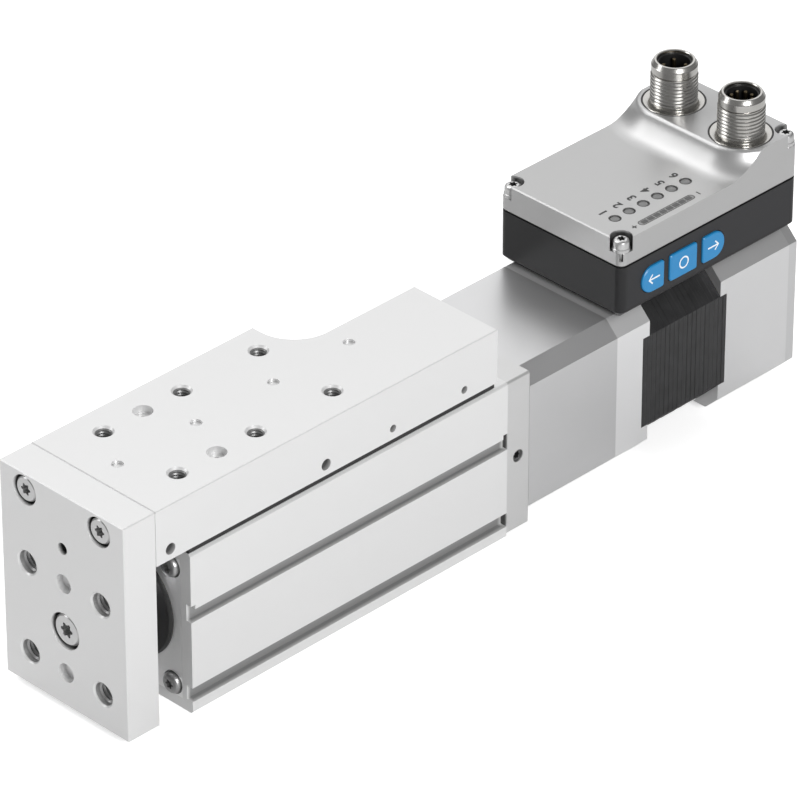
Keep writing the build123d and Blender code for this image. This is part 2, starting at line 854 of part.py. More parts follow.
rear_web_front = stack_rear + winding_room_depth
rear_bearing_front = rear_web_front + play
rear_bearing_rear = rear_bearing_front + motor_bearing_width
shaft_rear = stack_rear + shaft_rear_reach
encoder_board_front = shaft_rear + magnet_length + encoder_gap
with BuildPart() as motor_rear_housing:
    extrude(motor_section(facing_front(motor_rear, axis_height)), amount=rear_housing_length)
    extrude(lugs(stack_rear), amount=lug_length)
    revolve(
        turning(
            (stack_rear, rear_web_front, winding_room),
            (rear_web_front, rear_bearing_front, shaft_radius + play),
            (rear_bearing_front, rear_bearing_rear, motor_bearing_radius),
            (rear_bearing_rear, motor_rear, winding_room),
        ),
        axis=screw_axis, mode=Mode.SUBTRACT,
    )
    with Locations(facing_rear(motor_rear, axis_height)):
        with Locations(*bolt_spots):
            Hole(m3_radius + hole_play, rear_housing_length + lug_length)
    with Locations(Plane.XY.offset(motor_top)):
        with Locations((0, drive_rear - base_screw_y)):
            Hole(m3_radius, base_screw_length - base_floor)

with BuildPart() as motor_end_plate:
    extrude(motor_section(facing_front(drive_rear, axis_height)), amount=end_plate_thickness)
    with Locations(facing_rear(drive_rear, axis_height)):
        with Locations(*bolt_spots):
            CounterBoreHole(m3_radius + hole_play, m3_head + play, end_well_depth, end_plate_thickness)

with BuildPart() as motor_screws:
    add(
        screws(
            facing_rear(drive_rear - end_well_depth, axis_height), bolt_spots, m3_radius,
            drive_rear - end_well_depth - motor_screw_front, m3_head, end_well_depth,
        )
    )

with BuildPart() as motor_bearings:
    for front in (front_bearing_rear - motor_bearing_width, rear_bearing_front):
        revolve(
            turning((front, front + motor_bearing_width, motor_bearing_radius), bore=shaft_radius + running_gap),
            axis=screw_axis,
        )

with BuildPart() as motor_shaft:
    revolve(turning((spider_rear, shaft_rear, shaft_radius)), axis=screw_axis)

with BuildPart() as motor_rotor:
    revolve(
        turning((flange_rear + rotor_end_gap, stack_rear - rotor_end_gap, rotor_radius), bore=shaft_radius), axis=screw_axis
    )

with BuildPart() as encoder_magnet:
    revolve(turning((shaft_rear, shaft_rear + magnet_length, magnet_radius)), axis=screw_axis)

with BuildPart() as encoder_board:
    revolve(turning((encoder_board_front, encoder_board_front + board_thickness, winding_room)), axis=screw_axis)
    with Locations(facing_front(encoder_board_front, axis_height)):
        Box(
            magnet_radius * 2, magnet_radius * 2, encoder_gap / 2, align=(Align.CENTER, Align.CENTER, Align.MIN)
        )

# Drive box: base, gasket and cover
drive_screw_x = drive_half - drive_screw_inset
drive_screw_spots = [
    (x, y) for x in (-drive_screw_x, drive_screw_x) for y in (drive_front + drive_screw_inset, drive_rear - drive_screw_inset)
]
button_rows = []
button_start = drive_front + button_first
for length in (side_button_length, middle_button_length, side_button_length):
    button_rows.append((button_start + length / 2, length))
    button_start += length + button_spacing
panel_outer = drive_half
wall_face = drive_half - panel_thickness
cap_inner = wall_face + button_travel + running_gap
stem_end = cap_inner - stem_length


def button_outline(plane, row, length, rounded_side, grow=0.0):
    """Outline of a button cap: square in the middle, with a round side towards the ends of the row."""
    size = button_size + 2 * grow
    with BuildSketch(plane) as outline:
        with Locations((row, button_height)):
            RectangleRounded(length + 2 * grow, size, button_corner + grow)
        if rounded_side:
            end = row + rounded_side * (length / 2 + grow)
            with Locations((end, button_height)):
                Rectangle(size, size, mode=Mode.SUBTRACT)
            with Locations((end - rounded_side * size / 2, button_height)):
                Circle(size / 2)
    return outline.sketch


def drive_room(plane, post):
    """Room inside the walls of the drive box, without the posts of its screws."""
    with BuildSketch(plane) as room:
        add(drive_outline(Plane.XY, drive_wall))
        with Locations(*drive_screw_spots):
            Circle(post, mode=Mode.SUBTRACT)
    return room.sketch


button_sides = (-1, 0, 1)
with BuildPart() as drive_base:
    extrude(drive_outline(Plane.XY.offset(motor_top)), amount=base_top - motor_top)
    chamfer(drive_base.faces().sort_by(Axis.Z)[0].edges(), base_foot_edge)
    extrude(
        drive_room(Plane.XY.offset(base_top), post_radius), amount=-(base_top - motor_top - base_floor), mode=Mode.SUBTRACT
    )
    with Locations((0, drive_middle, motor_top + base_floor)):
        with GridLocations(2 * standoff_x, 2 * standoff_y, 2, 2):
            Cylinder(
                standoff_radius, board_height - motor_top - base_floor, align=(Align.CENTER, Align.CENTER, Align.MIN)
            )
    with Locations(Plane.XY.offset(base_top)):
        with Locations(*drive_screw_spots):
            Hole(drive_screw_radius, drive_screw_length)
    with Locations(Plane.XY.offset(motor_top + base_floor)):
        with Locations((0, drive_rear - base_screw_y)):
            Hole(m3_radius + hole_play, base_floor)
    with BuildSketch(Plane.YZ.offset(panel_outer)):
        with Locations((drive_middle, panel_middle)):
            Rectangle(panel_length, panel_height)
    extrude(amount=-panel_thickness, mode=Mode.SUBTRACT)
    with Locations(Plane.YZ.offset(wall_face)):
        with Locations(*[(row, button_height) for row, length in button_rows]):
            Hole(stem_radius + button_play, drive_wall)

with BuildPart() as drive_base_screw:
    add(
        screws(
            Plane.XY.offset(motor_top + base_floor), [(0, drive_rear - base_screw_y)], m3_radius, base_screw_length, m3_head,
            m3_head_height,
        )
    )

with BuildPart() as control_panel:
    with BuildSketch(Plane.YZ.offset(wall_face)):
        with Locations((drive_middle, panel_middle)):
            Rectangle(panel_length, panel_height)
        for (row, length), side in zip(button_rows, button_sides):
            add(button_outline(Plane.XY, row, length, side, button_play), mode=Mode.SUBTRACT)
    extrude(amount=panel_thickness)


def button(row, length, side):
    """A button: its cap, slightly crowned at the edge, and the stem that reaches the switch."""
    with BuildPart() as key:
        extrude(button_outline(Plane.YZ.offset(cap_inner), row, length, side), amount=panel_outer + button_proud - cap_inner)
        chamfer(key.faces().sort_by(Axis.X)[-1].edges(), button_proud / 2)
        with Locations(Plane.YZ.offset(cap_inner)):
            with Locations((row, button_height)):
                Cylinder(stem_radius, stem_length, align=(Align.CENTER, Align.CENTER, Align.MAX))
    return key.part


with BuildPart() as button_back:
    add(button(*button_rows[0], button_sides[0]))

with BuildPart() as button_middle:
    add(button(*button_rows[1], button_sides[1]))

with BuildPart() as button_forward:
    add(button(*button_rows[2], button_sides[2]))

switch_face = stem_end - button_travel - hole_play
with BuildPart() as drive_board:
    with BuildSketch(Plane.XY.offset(board_height)):
        with Locations((0, drive_middle)):
            Rectangle(drive_width - 2 * drive_wall - 2 * play, drive_length - 2 * drive_wall - 2 * play)
        with Locations(*drive_screw_spots):
            Circle(post_radius + play, mode=Mode.SUBTRACT)
        with Locations((0, drive_rear - base_screw_y)):
            Circle(m3_head + play, mode=Mode.SUBTRACT)
    extrude(amount=board_thickness)
    for row, length in button_rows:
        with Locations((switch_face - switch_width / 2, row, board_height + board_thickness)):
            Box(
                switch_width, switch_width, 2 * (button_height - board_height - board_thickness),
                align=(Align.CENTER, Align.CENTER, Align.MIN),
            )

with BuildPart() as drive_gasket:
    with BuildSketch(Plane.XY.offset(base_top)):
        add(drive_outline(Plane.XY, gasket_inset))
        add(drive_room(Plane.XY, post_radius - gasket_inset - play), mode=Mode.SUBTRACT)
        with Locations(*drive_screw_spots):
            Circle(drive_screw_radius + hole_play, mode=Mode.SUBTRACT)
    extrude(amount=gasket_thickness)

# Milling that leaves the raised platform on the drive cover, with a concave ramp round its front
cover_height = cover_high_top - cover_bottom
platform_wall = drive_front + platform_front
platform_start = platform_wall - ramp_radius
with BuildPart() as cover_milling:
    with BuildSketch(Plane.XY.offset(cover_low_top)):
        with Locations((0, platform_wall)):
            Rectangle(3 * drive_width, 3 * drive_length)
        with Locations((0, platform_wall)):
            Rectangle(drive_width + running_gap, 2 * drive_length, align=(Align.CENTER, Align.MIN), mode=Mode.SUBTRACT)
    extrude(amount=ramp_radius + cover_height)
    inner_walls = cover_milling.edges().filter_by(Axis.Z).filter_by_position(Axis.X, -drive_width, drive_width)
    fillet(inner_walls.filter_by_position(Axis.Y, platform_wall - 1, platform_wall + 1), platform_corner)
    ramp_foot = cover_milling.faces().sort_by(Axis.Z)[0].edges().filter_by_position(Axis.X, -drive_width, drive_width)
    ramp_foot = ramp_foot.filter_by_position(Axis.Y, platform_wall - 1, platform_wall + 2 * drive_length)
    fillet(ramp_foot.filter_by_position(Axis.Y, platform_wall - 1, platform_wall + 1.5 * drive_length - 1), ramp_radius)

socket_y = drive_rear - socket_from_rear
socket_spots = [(-socket_x, socket_y), (socket_x, socket_y)]
light_rows = [drive_front + light_first + light_pitch * n for n in range(light_count)]
window_middle = drive_front + window_first + window_length / 2
flange_bottom = cover_high_top - socket_flange_depth
seal_radius_outer = socket_flange + socket_seal_width


def level_slot(plane, grow=0.0):
    """Long rounded slot of the level window."""
    with BuildSketch(plane) as slot:
        with Locations((window_x, window_middle)):
            SlotOverall(window_length + 2 * grow, window_width + 2 * grow, rotation=90)
    return slot.sketch


corner_turns = (-135, 135, -45, 45)
with BuildPart() as drive_cover:
    extrude(drive_outline(Plane.XY.offset(cover_bottom)), amount=cover_height)
    add(cover_milling.part, mode=Mode.SUBTRACT)
    crest = drive_cover.faces().sort_by(Axis.Z)[-1].edges().filter_by_position(Axis.Y, drive_front, platform_wall + cover_edge)
    fillet(crest, ramp_crest)
    extrude(
        drive_room(Plane.XY.offset(cover_bottom), post_radius), amount=cover_low_top - cover_wall - cover_bottom,
        mode=Mode.SUBTRACT,
    )
    with BuildSketch(Plane.XY.offset(cover_low_top - cover_wall)) as platform_room:
        with Locations((0, socket_y)):
            SlotOverall(2 * (socket_x + socket_room_radius), 2 * socket_room_radius)
    extrude(amount=cover_high_top - platform_roof - cover_low_top + cover_wall, mode=Mode.SUBTRACT)
    for (x, y), top in zip(drive_screw_spots, 2 * (cover_low_top, cover_high_top)):
        with Locations((x, y, top)):
            CounterBoreHole(
                drive_screw_radius + hole_play, drive_well_radius, drive_well_depth, top - cover_bottom
            )
    # Each well and the slit under it are open at the corner of the cover
    for (x, y), top, turn in zip(drive_screw_spots, 2 * (cover_low_top, cover_high_top), corner_turns):
        with Locations(Location((x, y, top - drive_well_depth), (0, 0, turn))):
            Box(
                2 * drive_well_radius, 2 * drive_well_radius, drive_well_depth, align=(Align.MIN, Align.CENTER, Align.MIN),
                mode=Mode.SUBTRACT,
            )
            Box(
                2 * drive_well_radius, corner_slit_width, corner_slit_depth, align=(Align.MIN, Align.CENTER, Align.MAX),
                mode=Mode.SUBTRACT,
            )
    upper_edges = drive_cover.edges().filter_by_position(Axis.Z, cover_low_top - running_gap, cover_high_top)
    end_rims = upper_edges.filter_by(Axis.X).sort_by(Axis.Y)
    chamfer([end_rims[0], end_rims[-1]], cover_edge / 2)
    with Locations(Plane.XY.offset(cover_high_top)):
        with Locations(*socket_spots):
            CounterBoreHole(socket_tail_radius, seal_radius_outer, socket_flange_depth, platform_roof)
    with Locations(Plane.XY.offset(cover_low_top)):
        with Locations(*[(light_x, row) for row in light_rows]):
            Hole(light_radius, cover_wall)
    extrude(level_slot(Plane.XY.offset(cover_low_top)), amount=-cover_wall, mode=Mode.SUBTRACT)

with BuildPart() as drive_cover_screws:
    for (x, y), top in zip(drive_screw_spots, 2 * (cover_low_top, cover_high_top)):
        seat = top - drive_well_depth
        add(
            screws(
                Plane.XY.offset(seat), [(x, y)], drive_screw_radius, seat - base_top + drive_screw_length - hole_play,
                drive_head_radius, drive_head_height, dome=drive_head_height / 3,
            )
        )

with BuildPart() as status_lights:
    with Locations(Plane.XY.offset(cover_low_top)):
        with Locations(*[(light_x, row) for row in light_rows]):
            Cylinder(light_radius, cover_wall, align=(Align.CENTER, Align.CENTER, Align.MAX))

with BuildPart() as level_window:
    extrude(level_slot(Plane.XY.offset(cover_low_top - cover_wall)), amount=cover_wall)


# Round plug sockets: threaded shell, seal, insulating insert and pins
def socket_shell(x):
    """Shell with a flange flush in the cover, a threaded barrel, a plain collar and an open mouth."""
    with BuildPart() as shell:
        with Locations((x, socket_y, flange_bottom)):
            Cylinder(socket_flange, socket_flange_depth, align=(Align.CENTER, Align.CENTER, Align.MIN))
        with Locations((x, socket_y, flange_bottom)):
            Cylinder(socket_tail_radius, socket_tail_length, align=(Align.CENTER, Align.CENTER, Align.MAX))
        with Locations((x, socket_y, cover_high_top)):
            Cylinder(socket_radius, socket_height - collar_height, align=(Align.CENTER, Align.CENTER, Align.MIN))
        with Locations((x, socket_y, cover_high_top)):
            Cylinder(collar_radius, socket_height, align=(Align.CENTER, Align.CENTER, Align.MIN))
        chamfer(shell.faces().sort_by(Axis.Z)[-1].edges(), cover_edge)
        with Locations((x, socket_y, cover_high_top + socket_height)):
            Hole(socket_mouth, socket_mouth_depth)
    return shell.part


insert_top = cover_high_top + socket_height - socket_mouth_depth + insert_thickness


def socket_insert(x):
    """Insulating disc at the bottom of the mouth, with a keying rib."""
    with BuildPart() as disc:
        with Locations((x, socket_y, insert_top)):
            Cylinder(socket_mouth, insert_thickness, align=(Align.CENTER, Align.CENTER, Align.MAX))
        with Locations((x, socket_y - socket_mouth + pin_radius, insert_top)):
            Box(2 * pin_radius, pin_radius, pin_length / 2, align=(Align.CENTER, Align.CENTER, Align.MIN))
    return disc.part


def socket_pins(x, count):
    """Ring of contact pins that stand on the insert."""
    with BuildPart() as pins:
        with Locations((x, socket_y, insert_top)):
            with PolarLocations(pin_circle_radius, count, start_angle=180 / count):
                Cylinder(pin_radius, pin_length, align=(Align.CENTER, Align.CENTER, Align.MIN))
        fillet(pins.faces().sort_by(Axis.Z)[-count:].edges(), pin_radius / 2)
    return pins.part


with BuildPart() as power_socket_shell:
    add(socket_shell(-socket_x))

with BuildPart() as signal_socket_shell:
    add(socket_shell(socket_x))

with BuildPart() as power_socket_insert:
    add(socket_insert(-socket_x))

with BuildPart() as signal_socket_insert:
    add(socket_insert(socket_x))

with BuildPart() as power_socket_pins:
    add(socket_pins(-socket_x, power_pin_count))

with BuildPart() as signal_socket_pins:
    add(socket_pins(socket_x, signal_pin_count))

with BuildPart() as socket_seals:
    with BuildSketch(Plane.XY.offset(flange_bottom)):
        with Locations(*socket_spots):
            Circle(seal_radius_outer)
        with Locations(*socket_spots):
            Circle(socket_flange, mode=Mode.SUBTRACT)
    extrude(amount=socket_flange_depth - hole_play)

pieces = {
    "body_profile": body_profile,
    "front_cover": front_cover,
    "front_cover_screws": front_cover_screws,
    "rod_seal": rod_seal,
    "rod_bush": rod_bush,
    "rear_cover": rear_cover,
    "rear_cover_screws": rear_cover_screws,
    "cover_side_plug": cover_side_plug,
    "end_buffer": end_buffer,
    "screw_bearing_outer": screw_bearing_outer,
    "screw_bearing_inner": screw_bearing_inner,
    "screw_bearing_balls": screw_bearing_balls,
    "ball_screw": ball_screw,
    "ball_nut": ball_nut,
    "nut_guide_ring": nut_guide_ring,
    "piston_rod": piston_rod,
    "yoke_plate": yoke_plate,
    "yoke_screws": yoke_screws,
    "rod_screw": rod_screw,
    "slide_table": slide_table,
    "guide_rail": guide_rail,
    "rail_screws": rail_screws,
    "guide_blocks": guide_blocks,
    "guide_block_caps": guide_block_caps,
    "guide_block_screws": guide_block_screws,
    "coupling_housing": coupling_housing,
    "housing_screws": housing_screws,
    "coupling_hub_screw_side": coupling_hub_screw_side,
    "coupling_hub_motor_side": coupling_hub_motor_side,
    "coupling_spider": coupling_spider,
    "motor_front_flange": motor_front_flange,
    "motor_laminations": motor_laminations,
    "motor_windings": motor_windings,
    "motor_rear_housing": motor_rear_housing,
    "motor_end_plate": motor_end_plate,
    "motor_screws": motor_screws,
    "motor_bearings": motor_bearings,
    "motor_shaft": motor_shaft,
    "motor_rotor": motor_rotor,
    "encoder_magnet": encoder_magnet,
    "encoder_board": encoder_board,
    "drive_base": drive_base,
    "drive_base_screw": drive_base_screw,
    "drive_board": drive_board,
    "drive_gasket": drive_gasket,
    "drive_cover": drive_cover,
    "drive_cover_screws": drive_cover_screws,
    "control_panel": control_panel,
    "button_back": button_back,
    "button_middle": button_middle,
    "button_forward": button_forward,
    "status_lights": status_lights,
    "level_window": level_window,
    "power_socket_shell": power_socket_shell,
    "signal_socket_shell": signal_socket_shell,
    "power_socket_insert": power_socket_insert,
    "signal_socket_insert": signal_socket_insert,
    "power_socket_pins": power_socket_pins,
    "signal_socket_pins": signal_socket_pins,
    "socket_seals": socket_seals,
}

os.makedirs("parts", exist_ok=True)
for name, piece in pieces.items():
    piece.part.label = name
    export_step(piece.part, f"parts/{name}.step")
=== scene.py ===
"""Electric slide actuator: finishes, fine pieces and a plain studio round the packed frame."""

import json
import math
import random

import bmesh
import bpy
from bpy.props import FloatProperty, FloatVectorProperty, IntProperty, PointerProperty
from mathutils import Matrix, Vector


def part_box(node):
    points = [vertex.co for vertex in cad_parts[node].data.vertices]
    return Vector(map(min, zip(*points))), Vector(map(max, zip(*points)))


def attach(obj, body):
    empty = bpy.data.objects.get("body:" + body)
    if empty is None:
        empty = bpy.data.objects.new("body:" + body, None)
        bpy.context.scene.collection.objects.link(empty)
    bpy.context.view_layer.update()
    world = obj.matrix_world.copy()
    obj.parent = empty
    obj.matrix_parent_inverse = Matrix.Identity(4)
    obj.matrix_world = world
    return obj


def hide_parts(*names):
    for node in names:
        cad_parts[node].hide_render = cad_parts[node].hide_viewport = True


bl_info = {
    "name": "Slide Actuator Dressing",
    "version": (1, 0, 0),
    "blender": (4, 5, 0),
    "location": "3D View > Sidebar > Actuator",
    "description": "Gives the packed slide actuator its finishes, threads, marks and studio",
    "category": "Object",
}

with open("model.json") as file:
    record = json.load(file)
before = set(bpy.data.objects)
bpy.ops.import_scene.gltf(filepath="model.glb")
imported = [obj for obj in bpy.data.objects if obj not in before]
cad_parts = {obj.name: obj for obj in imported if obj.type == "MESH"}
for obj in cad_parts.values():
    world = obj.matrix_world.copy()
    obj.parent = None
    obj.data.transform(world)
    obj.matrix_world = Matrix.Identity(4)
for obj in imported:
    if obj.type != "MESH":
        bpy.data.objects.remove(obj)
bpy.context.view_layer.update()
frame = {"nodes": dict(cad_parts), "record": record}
NODES = frame["nodes"]
SLOT_OF = {part["node"]: part["material_slot"] for part in frame["record"]["subparts"]}
MM = 0.001

# Places of the solids that the fine pieces follow
SIDES = (-1, "left"), (1, "right")
HOLE_HALF = 12.5 * MM
PLATE_ROWS = ("low", 11.5 * MM), ("high", 36.5 * MM)
TABLE_ROWS = ("front", 15.0 * MM), ("mid", 40.0 * MM), ("rear", 65.0 * MM)
TABLE_CUT = 40.5 * MM
AXIS_HEIGHT = 23.3 * MM
LIGHT_COUNT = 6


def middle(node):
    """Centre of a CAD node's box."""
    low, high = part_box(node)
    return (low + high) / 2


# Settings that a user may change


def distance(name, words, default):
    """A setting for a length."""
    return FloatProperty(
        name=name, description=words, default=default, min=0.0, max=0.1, subtype="DISTANCE", precision=5,
    )


def paint(name, words, default):
    """A setting for a colour."""
    return FloatVectorProperty(
        name=name, description=words, default=default, size=3, min=0.0, max=1.0, subtype="COLOR",
    )


def power(name, words, default):
    """A setting for the power of a lamp."""
    return FloatProperty(name=name, description=words, default=default, min=0.0, subtype="POWER")


def direction(name, words, default):
    """A setting for an angle of the camera, with its default in degrees."""
    return FloatProperty(name=name, description=words, default=math.radians(default), subtype="ANGLE")


class ActuatorFinishes(bpy.types.PropertyGroup):
    """Colours of the actuator's finishes."""

    anodised: paint("Anodised", "Anodised aluminium of the body, table and plate", (0.74, 0.74, 0.74))
    # Painted light: the front cover's colour is raised to make up for the shade it lies in under the front
    # plate.
    front_cover: paint("Front cover", "Turned aluminium of the body's front cover", (0.90, 0.90, 0.90))
    rear_cover: paint("Rear cover", "Milled aluminium of the body's rear cover", (0.65, 0.65, 0.65))
    cast: paint("Cast", "Fine-grained aluminium of the coupling housing", (0.65, 0.65, 0.655))
    flange: paint("Motor flange", "Bright aluminium of the motor's front flange", (0.84, 0.84, 0.845))
    motor_cast: paint("Motor cast", "Fine-grained aluminium of the motor's rear housing", (0.74, 0.74, 0.745))
    cover: paint("Drive cover", "Sprayed metal of the drive cover", (0.50, 0.50, 0.50))
    black: paint("Black plastic", "Moulded plastic of the drive's base", (0.012, 0.012, 0.013))
    film: paint("Panel film", "Film of the control panel", (0.013, 0.013, 0.015))
    blue: paint("Button blue", "Soft plastic of the buttons", (0.012, 0.21, 0.47))
    nickel: paint("Nickel", "Plated shells of the plug sockets", (0.52, 0.51, 0.49))
    screw: paint("Screw steel", "Zinc-plated screws", (0.58, 0.58, 0.58))


class ActuatorDetails(bpy.types.PropertyGroup):
    """Sizes of the actuator's fine pieces."""

    thread_pitch: distance("Thread pitch", "Distance from ridge to ridge on a plug socket", 1.0 * MM)
    thread_depth: distance("Thread depth", "Height of the ridges on a plug socket", 0.32 * MM)
    plate_pitch: distance("Plate thread pitch", "Distance from ridge to ridge in the plate's holes", 1.0 * MM)
    table_pitch: distance("Table thread pitch", "Distance from ridge to ridge in the table's holes", 0.8 * MM)
    sheet_pitch: distance("Sheet pitch", "Distance from edge to edge of the motor's steel sheets", 1.6 * MM)
    sheet_step: distance("Sheet step", "Most by which one sheet stands proud of the next", 0.12 * MM)
    stroke_width: distance("Stroke width", "Width of the lines of the printed signs", 0.42 * MM)
    digit_height: distance("Digit height", "Height of the printed numbers", 2.5 * MM)
    bar_segments: IntProperty(
        name="Bar segments", description="Segments of the level bar", default=8, min=2, max=20,
    )


class ActuatorStudio(bpy.types.PropertyGroup):
    """Camera and light of the studio."""

    azimuth: direction("Azimuth", "Direction of the camera, from the front towards the right", 44.987)
    elevation: direction("Elevation", "Angle by which the camera looks down", 32.49)
    lens: FloatProperty(
        name="Lens", description="Focal length in millimetres", default=298.245, min=20.0, max=500.0,
    )
    world: FloatProperty(
        name="World", description="Strength of the light from all around", default=0.25, min=0.0,
    )
    top_light: power("Top light", "Power of the large panel above and behind", 8.2)
    side_light: power("Side light", "Power of the panel on the right and in front", 20.0)
    ramp_light: power("Ramp light", "Power of the long panel on the left that the ramp mirrors", 5.3)


# Shared effects


def new_group(name, inputs, outputs):
    """An empty shader node group with named sockets, and its two end nodes."""
    group = bpy.data.node_groups.new(name, "ShaderNodeTree")
    for label, kind, value in inputs:
        socket = group.interface.new_socket(name=label, in_out="INPUT", socket_type=kind)
        if value is not None:
            socket.default_value = value
    for label, kind in outputs:
        group.interface.new_socket(name=label, in_out="OUTPUT", socket_type=kind)
    return group, group.nodes.new("NodeGroupInput"), group.nodes.new("NodeGroupOutput")


def add_noise(group, place, scale, detail):
    """A noise texture in a group, read at a place."""
    noise = group.nodes.new("ShaderNodeTexNoise")
    noise.inputs["Detail"].default_value = detail
    group.links.new(place, noise.inputs["Vector"])
    group.links.new(scale, noise.inputs["Scale"])
    return noise.outputs["Fac"]


def add_math(group, kind, first, second, clamp=False):
    """A math node in a group; each value is a socket or a number."""
    node = group.nodes.new("ShaderNodeMath")
    node.operation = kind
    node.use_clamp = clamp
    for socket, value in zip(node.inputs, (first, second)):
        if isinstance(value, (int, float)):
            socket.default_value = value
        else:
            group.links.new(value, socket)
    return node.outputs["Value"]


def cloud_tone_group():
    """Slow drift of a colour and of its polish over the surface."""
    group, start, end = new_group(
        "cloud_tone",
        [("Place", "NodeSocketVector", None), ("Colour", "NodeSocketColor", (0.8, 0.8, 0.8, 1.0)),
         ("Colour Drift", "NodeSocketFloat", 0.03), ("Polish", "NodeSocketFloat", 0.4),
         ("Polish Drift", "NodeSocketFloat", 0.04), ("Cloud Scale", "NodeSocketFloat", 60.0)],
        [("Colour", "NodeSocketColor"), ("Roughness", "NodeSocketFloat")],
    )
    cloud = add_noise(group, start.outputs["Place"], start.outputs["Cloud Scale"], 3.0)
    swing = add_math(group, "SUBTRACT", cloud, 0.5)
    tone = add_math(group, "ADD", add_math(group, "MULTIPLY", swing, start.outputs["Colour Drift"]), 1.0)
    shade = group.nodes.new("ShaderNodeHueSaturation")
    group.links.new(start.outputs["Colour"], shade.inputs["Color"])
    group.links.new(tone, shade.inputs["Value"])
    group.links.new(shade.outputs["Color"], end.inputs["Colour"])
    rough = add_math(group, "MULTIPLY", swing, start.outputs["Polish Drift"])
    group.links.new(add_math(group, "ADD", rough, start.outputs["Polish"]), end.inputs["Roughness"])
    return group


def fine_grain_group():
    """Height of a fine even grain, as blasting, casting or spraying leaves it."""
    group, start, end = new_group(
        "fine_grain",
        [("Place", "NodeSocketVector", None), ("Grain Scale", "NodeSocketFloat", 4000.0),
         ("Lumps", "NodeSocketFloat", 0.3)],
        [("Height", "NodeSocketFloat")],
    )
    fine = add_noise(group, start.outputs["Place"], start.outputs["Grain Scale"], 4.0)
    lump_scale = add_math(group, "MULTIPLY", start.outputs["Grain Scale"], 0.2)
    slow = add_noise(group, start.outputs["Place"], lump_scale, 2.0)
    height = add_math(group, "ADD", fine, add_math(group, "MULTIPLY", slow, start.outputs["Lumps"]))
    group.links.new(height, end.inputs["Height"])
    return group


def drawn_lines_group():
    """Height of straight lines, drawn out along the directions whose stretch is small."""
    group, start, end = new_group(
        "drawn_lines",
        [("Place", "NodeSocketVector", None), ("Stretch", "NodeSocketVector", (1.0, 1.0, 1.0)),
         ("Line Scale", "NodeSocketFloat", 900.0)],
        [("Height", "NodeSocketFloat")],
    )
    stretch = group.nodes.new("ShaderNodeVectorMath")
    stretch.operation = "MULTIPLY"
    group.links.new(start.outputs["Place"], stretch.inputs[0])
    group.links.new(start.outputs["Stretch"], stretch.inputs[1])
    lines = add_noise(group, stretch.outputs["Vector"], start.outputs["Line Scale"], 5.0)
    group.links.new(lines, end.inputs["Height"])
    return group


def hollow_shade_group():
    """Painted shade: darkens a colour in the slots, wells and holes that lie inside a box, more with depth.
    """
    group, start, end = new_group(
        "hollow_shade",
        [("Place", "NodeSocketVector", None), ("Colour", "NodeSocketColor", (0.8, 0.8, 0.8, 1.0)),
         ("Low", "NodeSocketVector", (0.0, 0.0, 0.0)), ("High", "NodeSocketVector", (0.0, 0.0, 0.0)),
         ("Reach", "NodeSocketFloat", 0.001), ("Darkness", "NodeSocketFloat", 0.7)],
        [("Colour", "NodeSocketColor")],
    )
    sides = []
    for kind, first, second in (("SUBTRACT", "Place", "Low"), ("SUBTRACT", "High", "Place")):
        side = group.nodes.new("ShaderNodeVectorMath")
        side.operation = kind
        group.links.new(start.outputs[first], side.inputs[0])
        group.links.new(start.outputs[second], side.inputs[1])
        sides.append(side.outputs["Vector"])
    nearest = group.nodes.new("ShaderNodeVectorMath")
    nearest.operation = "MINIMUM"
    for socket, side in zip(nearest.inputs, sides):
        group.links.new(side, socket)
    split = group.nodes.new("ShaderNodeSeparateXYZ")
    group.links.new(nearest.outputs["Vector"], split.inputs["Vector"])
    depth = add_math(group, "MINIMUM", split.outputs["X"], split.outputs["Y"])
    depth = add_math(group, "MINIMUM", depth, split.outputs["Z"])
    mask = add_math(group, "DIVIDE", depth, start.outputs["Reach"], clamp=True)
    value = add_math(group, "SUBTRACT", 1.0, add_math(group, "MULTIPLY", mask, start.outputs["Darkness"]))
    shade = group.nodes.new("ShaderNodeHueSaturation")
    group.links.new(start.outputs["Colour"], shade.inputs["Color"])
    group.links.new(value, shade.inputs["Value"])
    group.links.new(shade.outputs["Color"], end.inputs["Colour"])
    return group


EFFECTS = {}


def effect(tree, name, **values):
    """A shared effect placed in a material with its own values."""
    if not EFFECTS:
        for build in (cloud_tone_group, fine_grain_group, drawn_lines_group, hollow_shade_group):
            group = build()
            EFFECTS[group.name] = group
    node = tree.nodes.new("ShaderNodeGroup")
    node.node_tree = EFFECTS[name]
    for label, value in values.items():
        node.inputs[label.replace("_", " ")].default_value = value
    return node


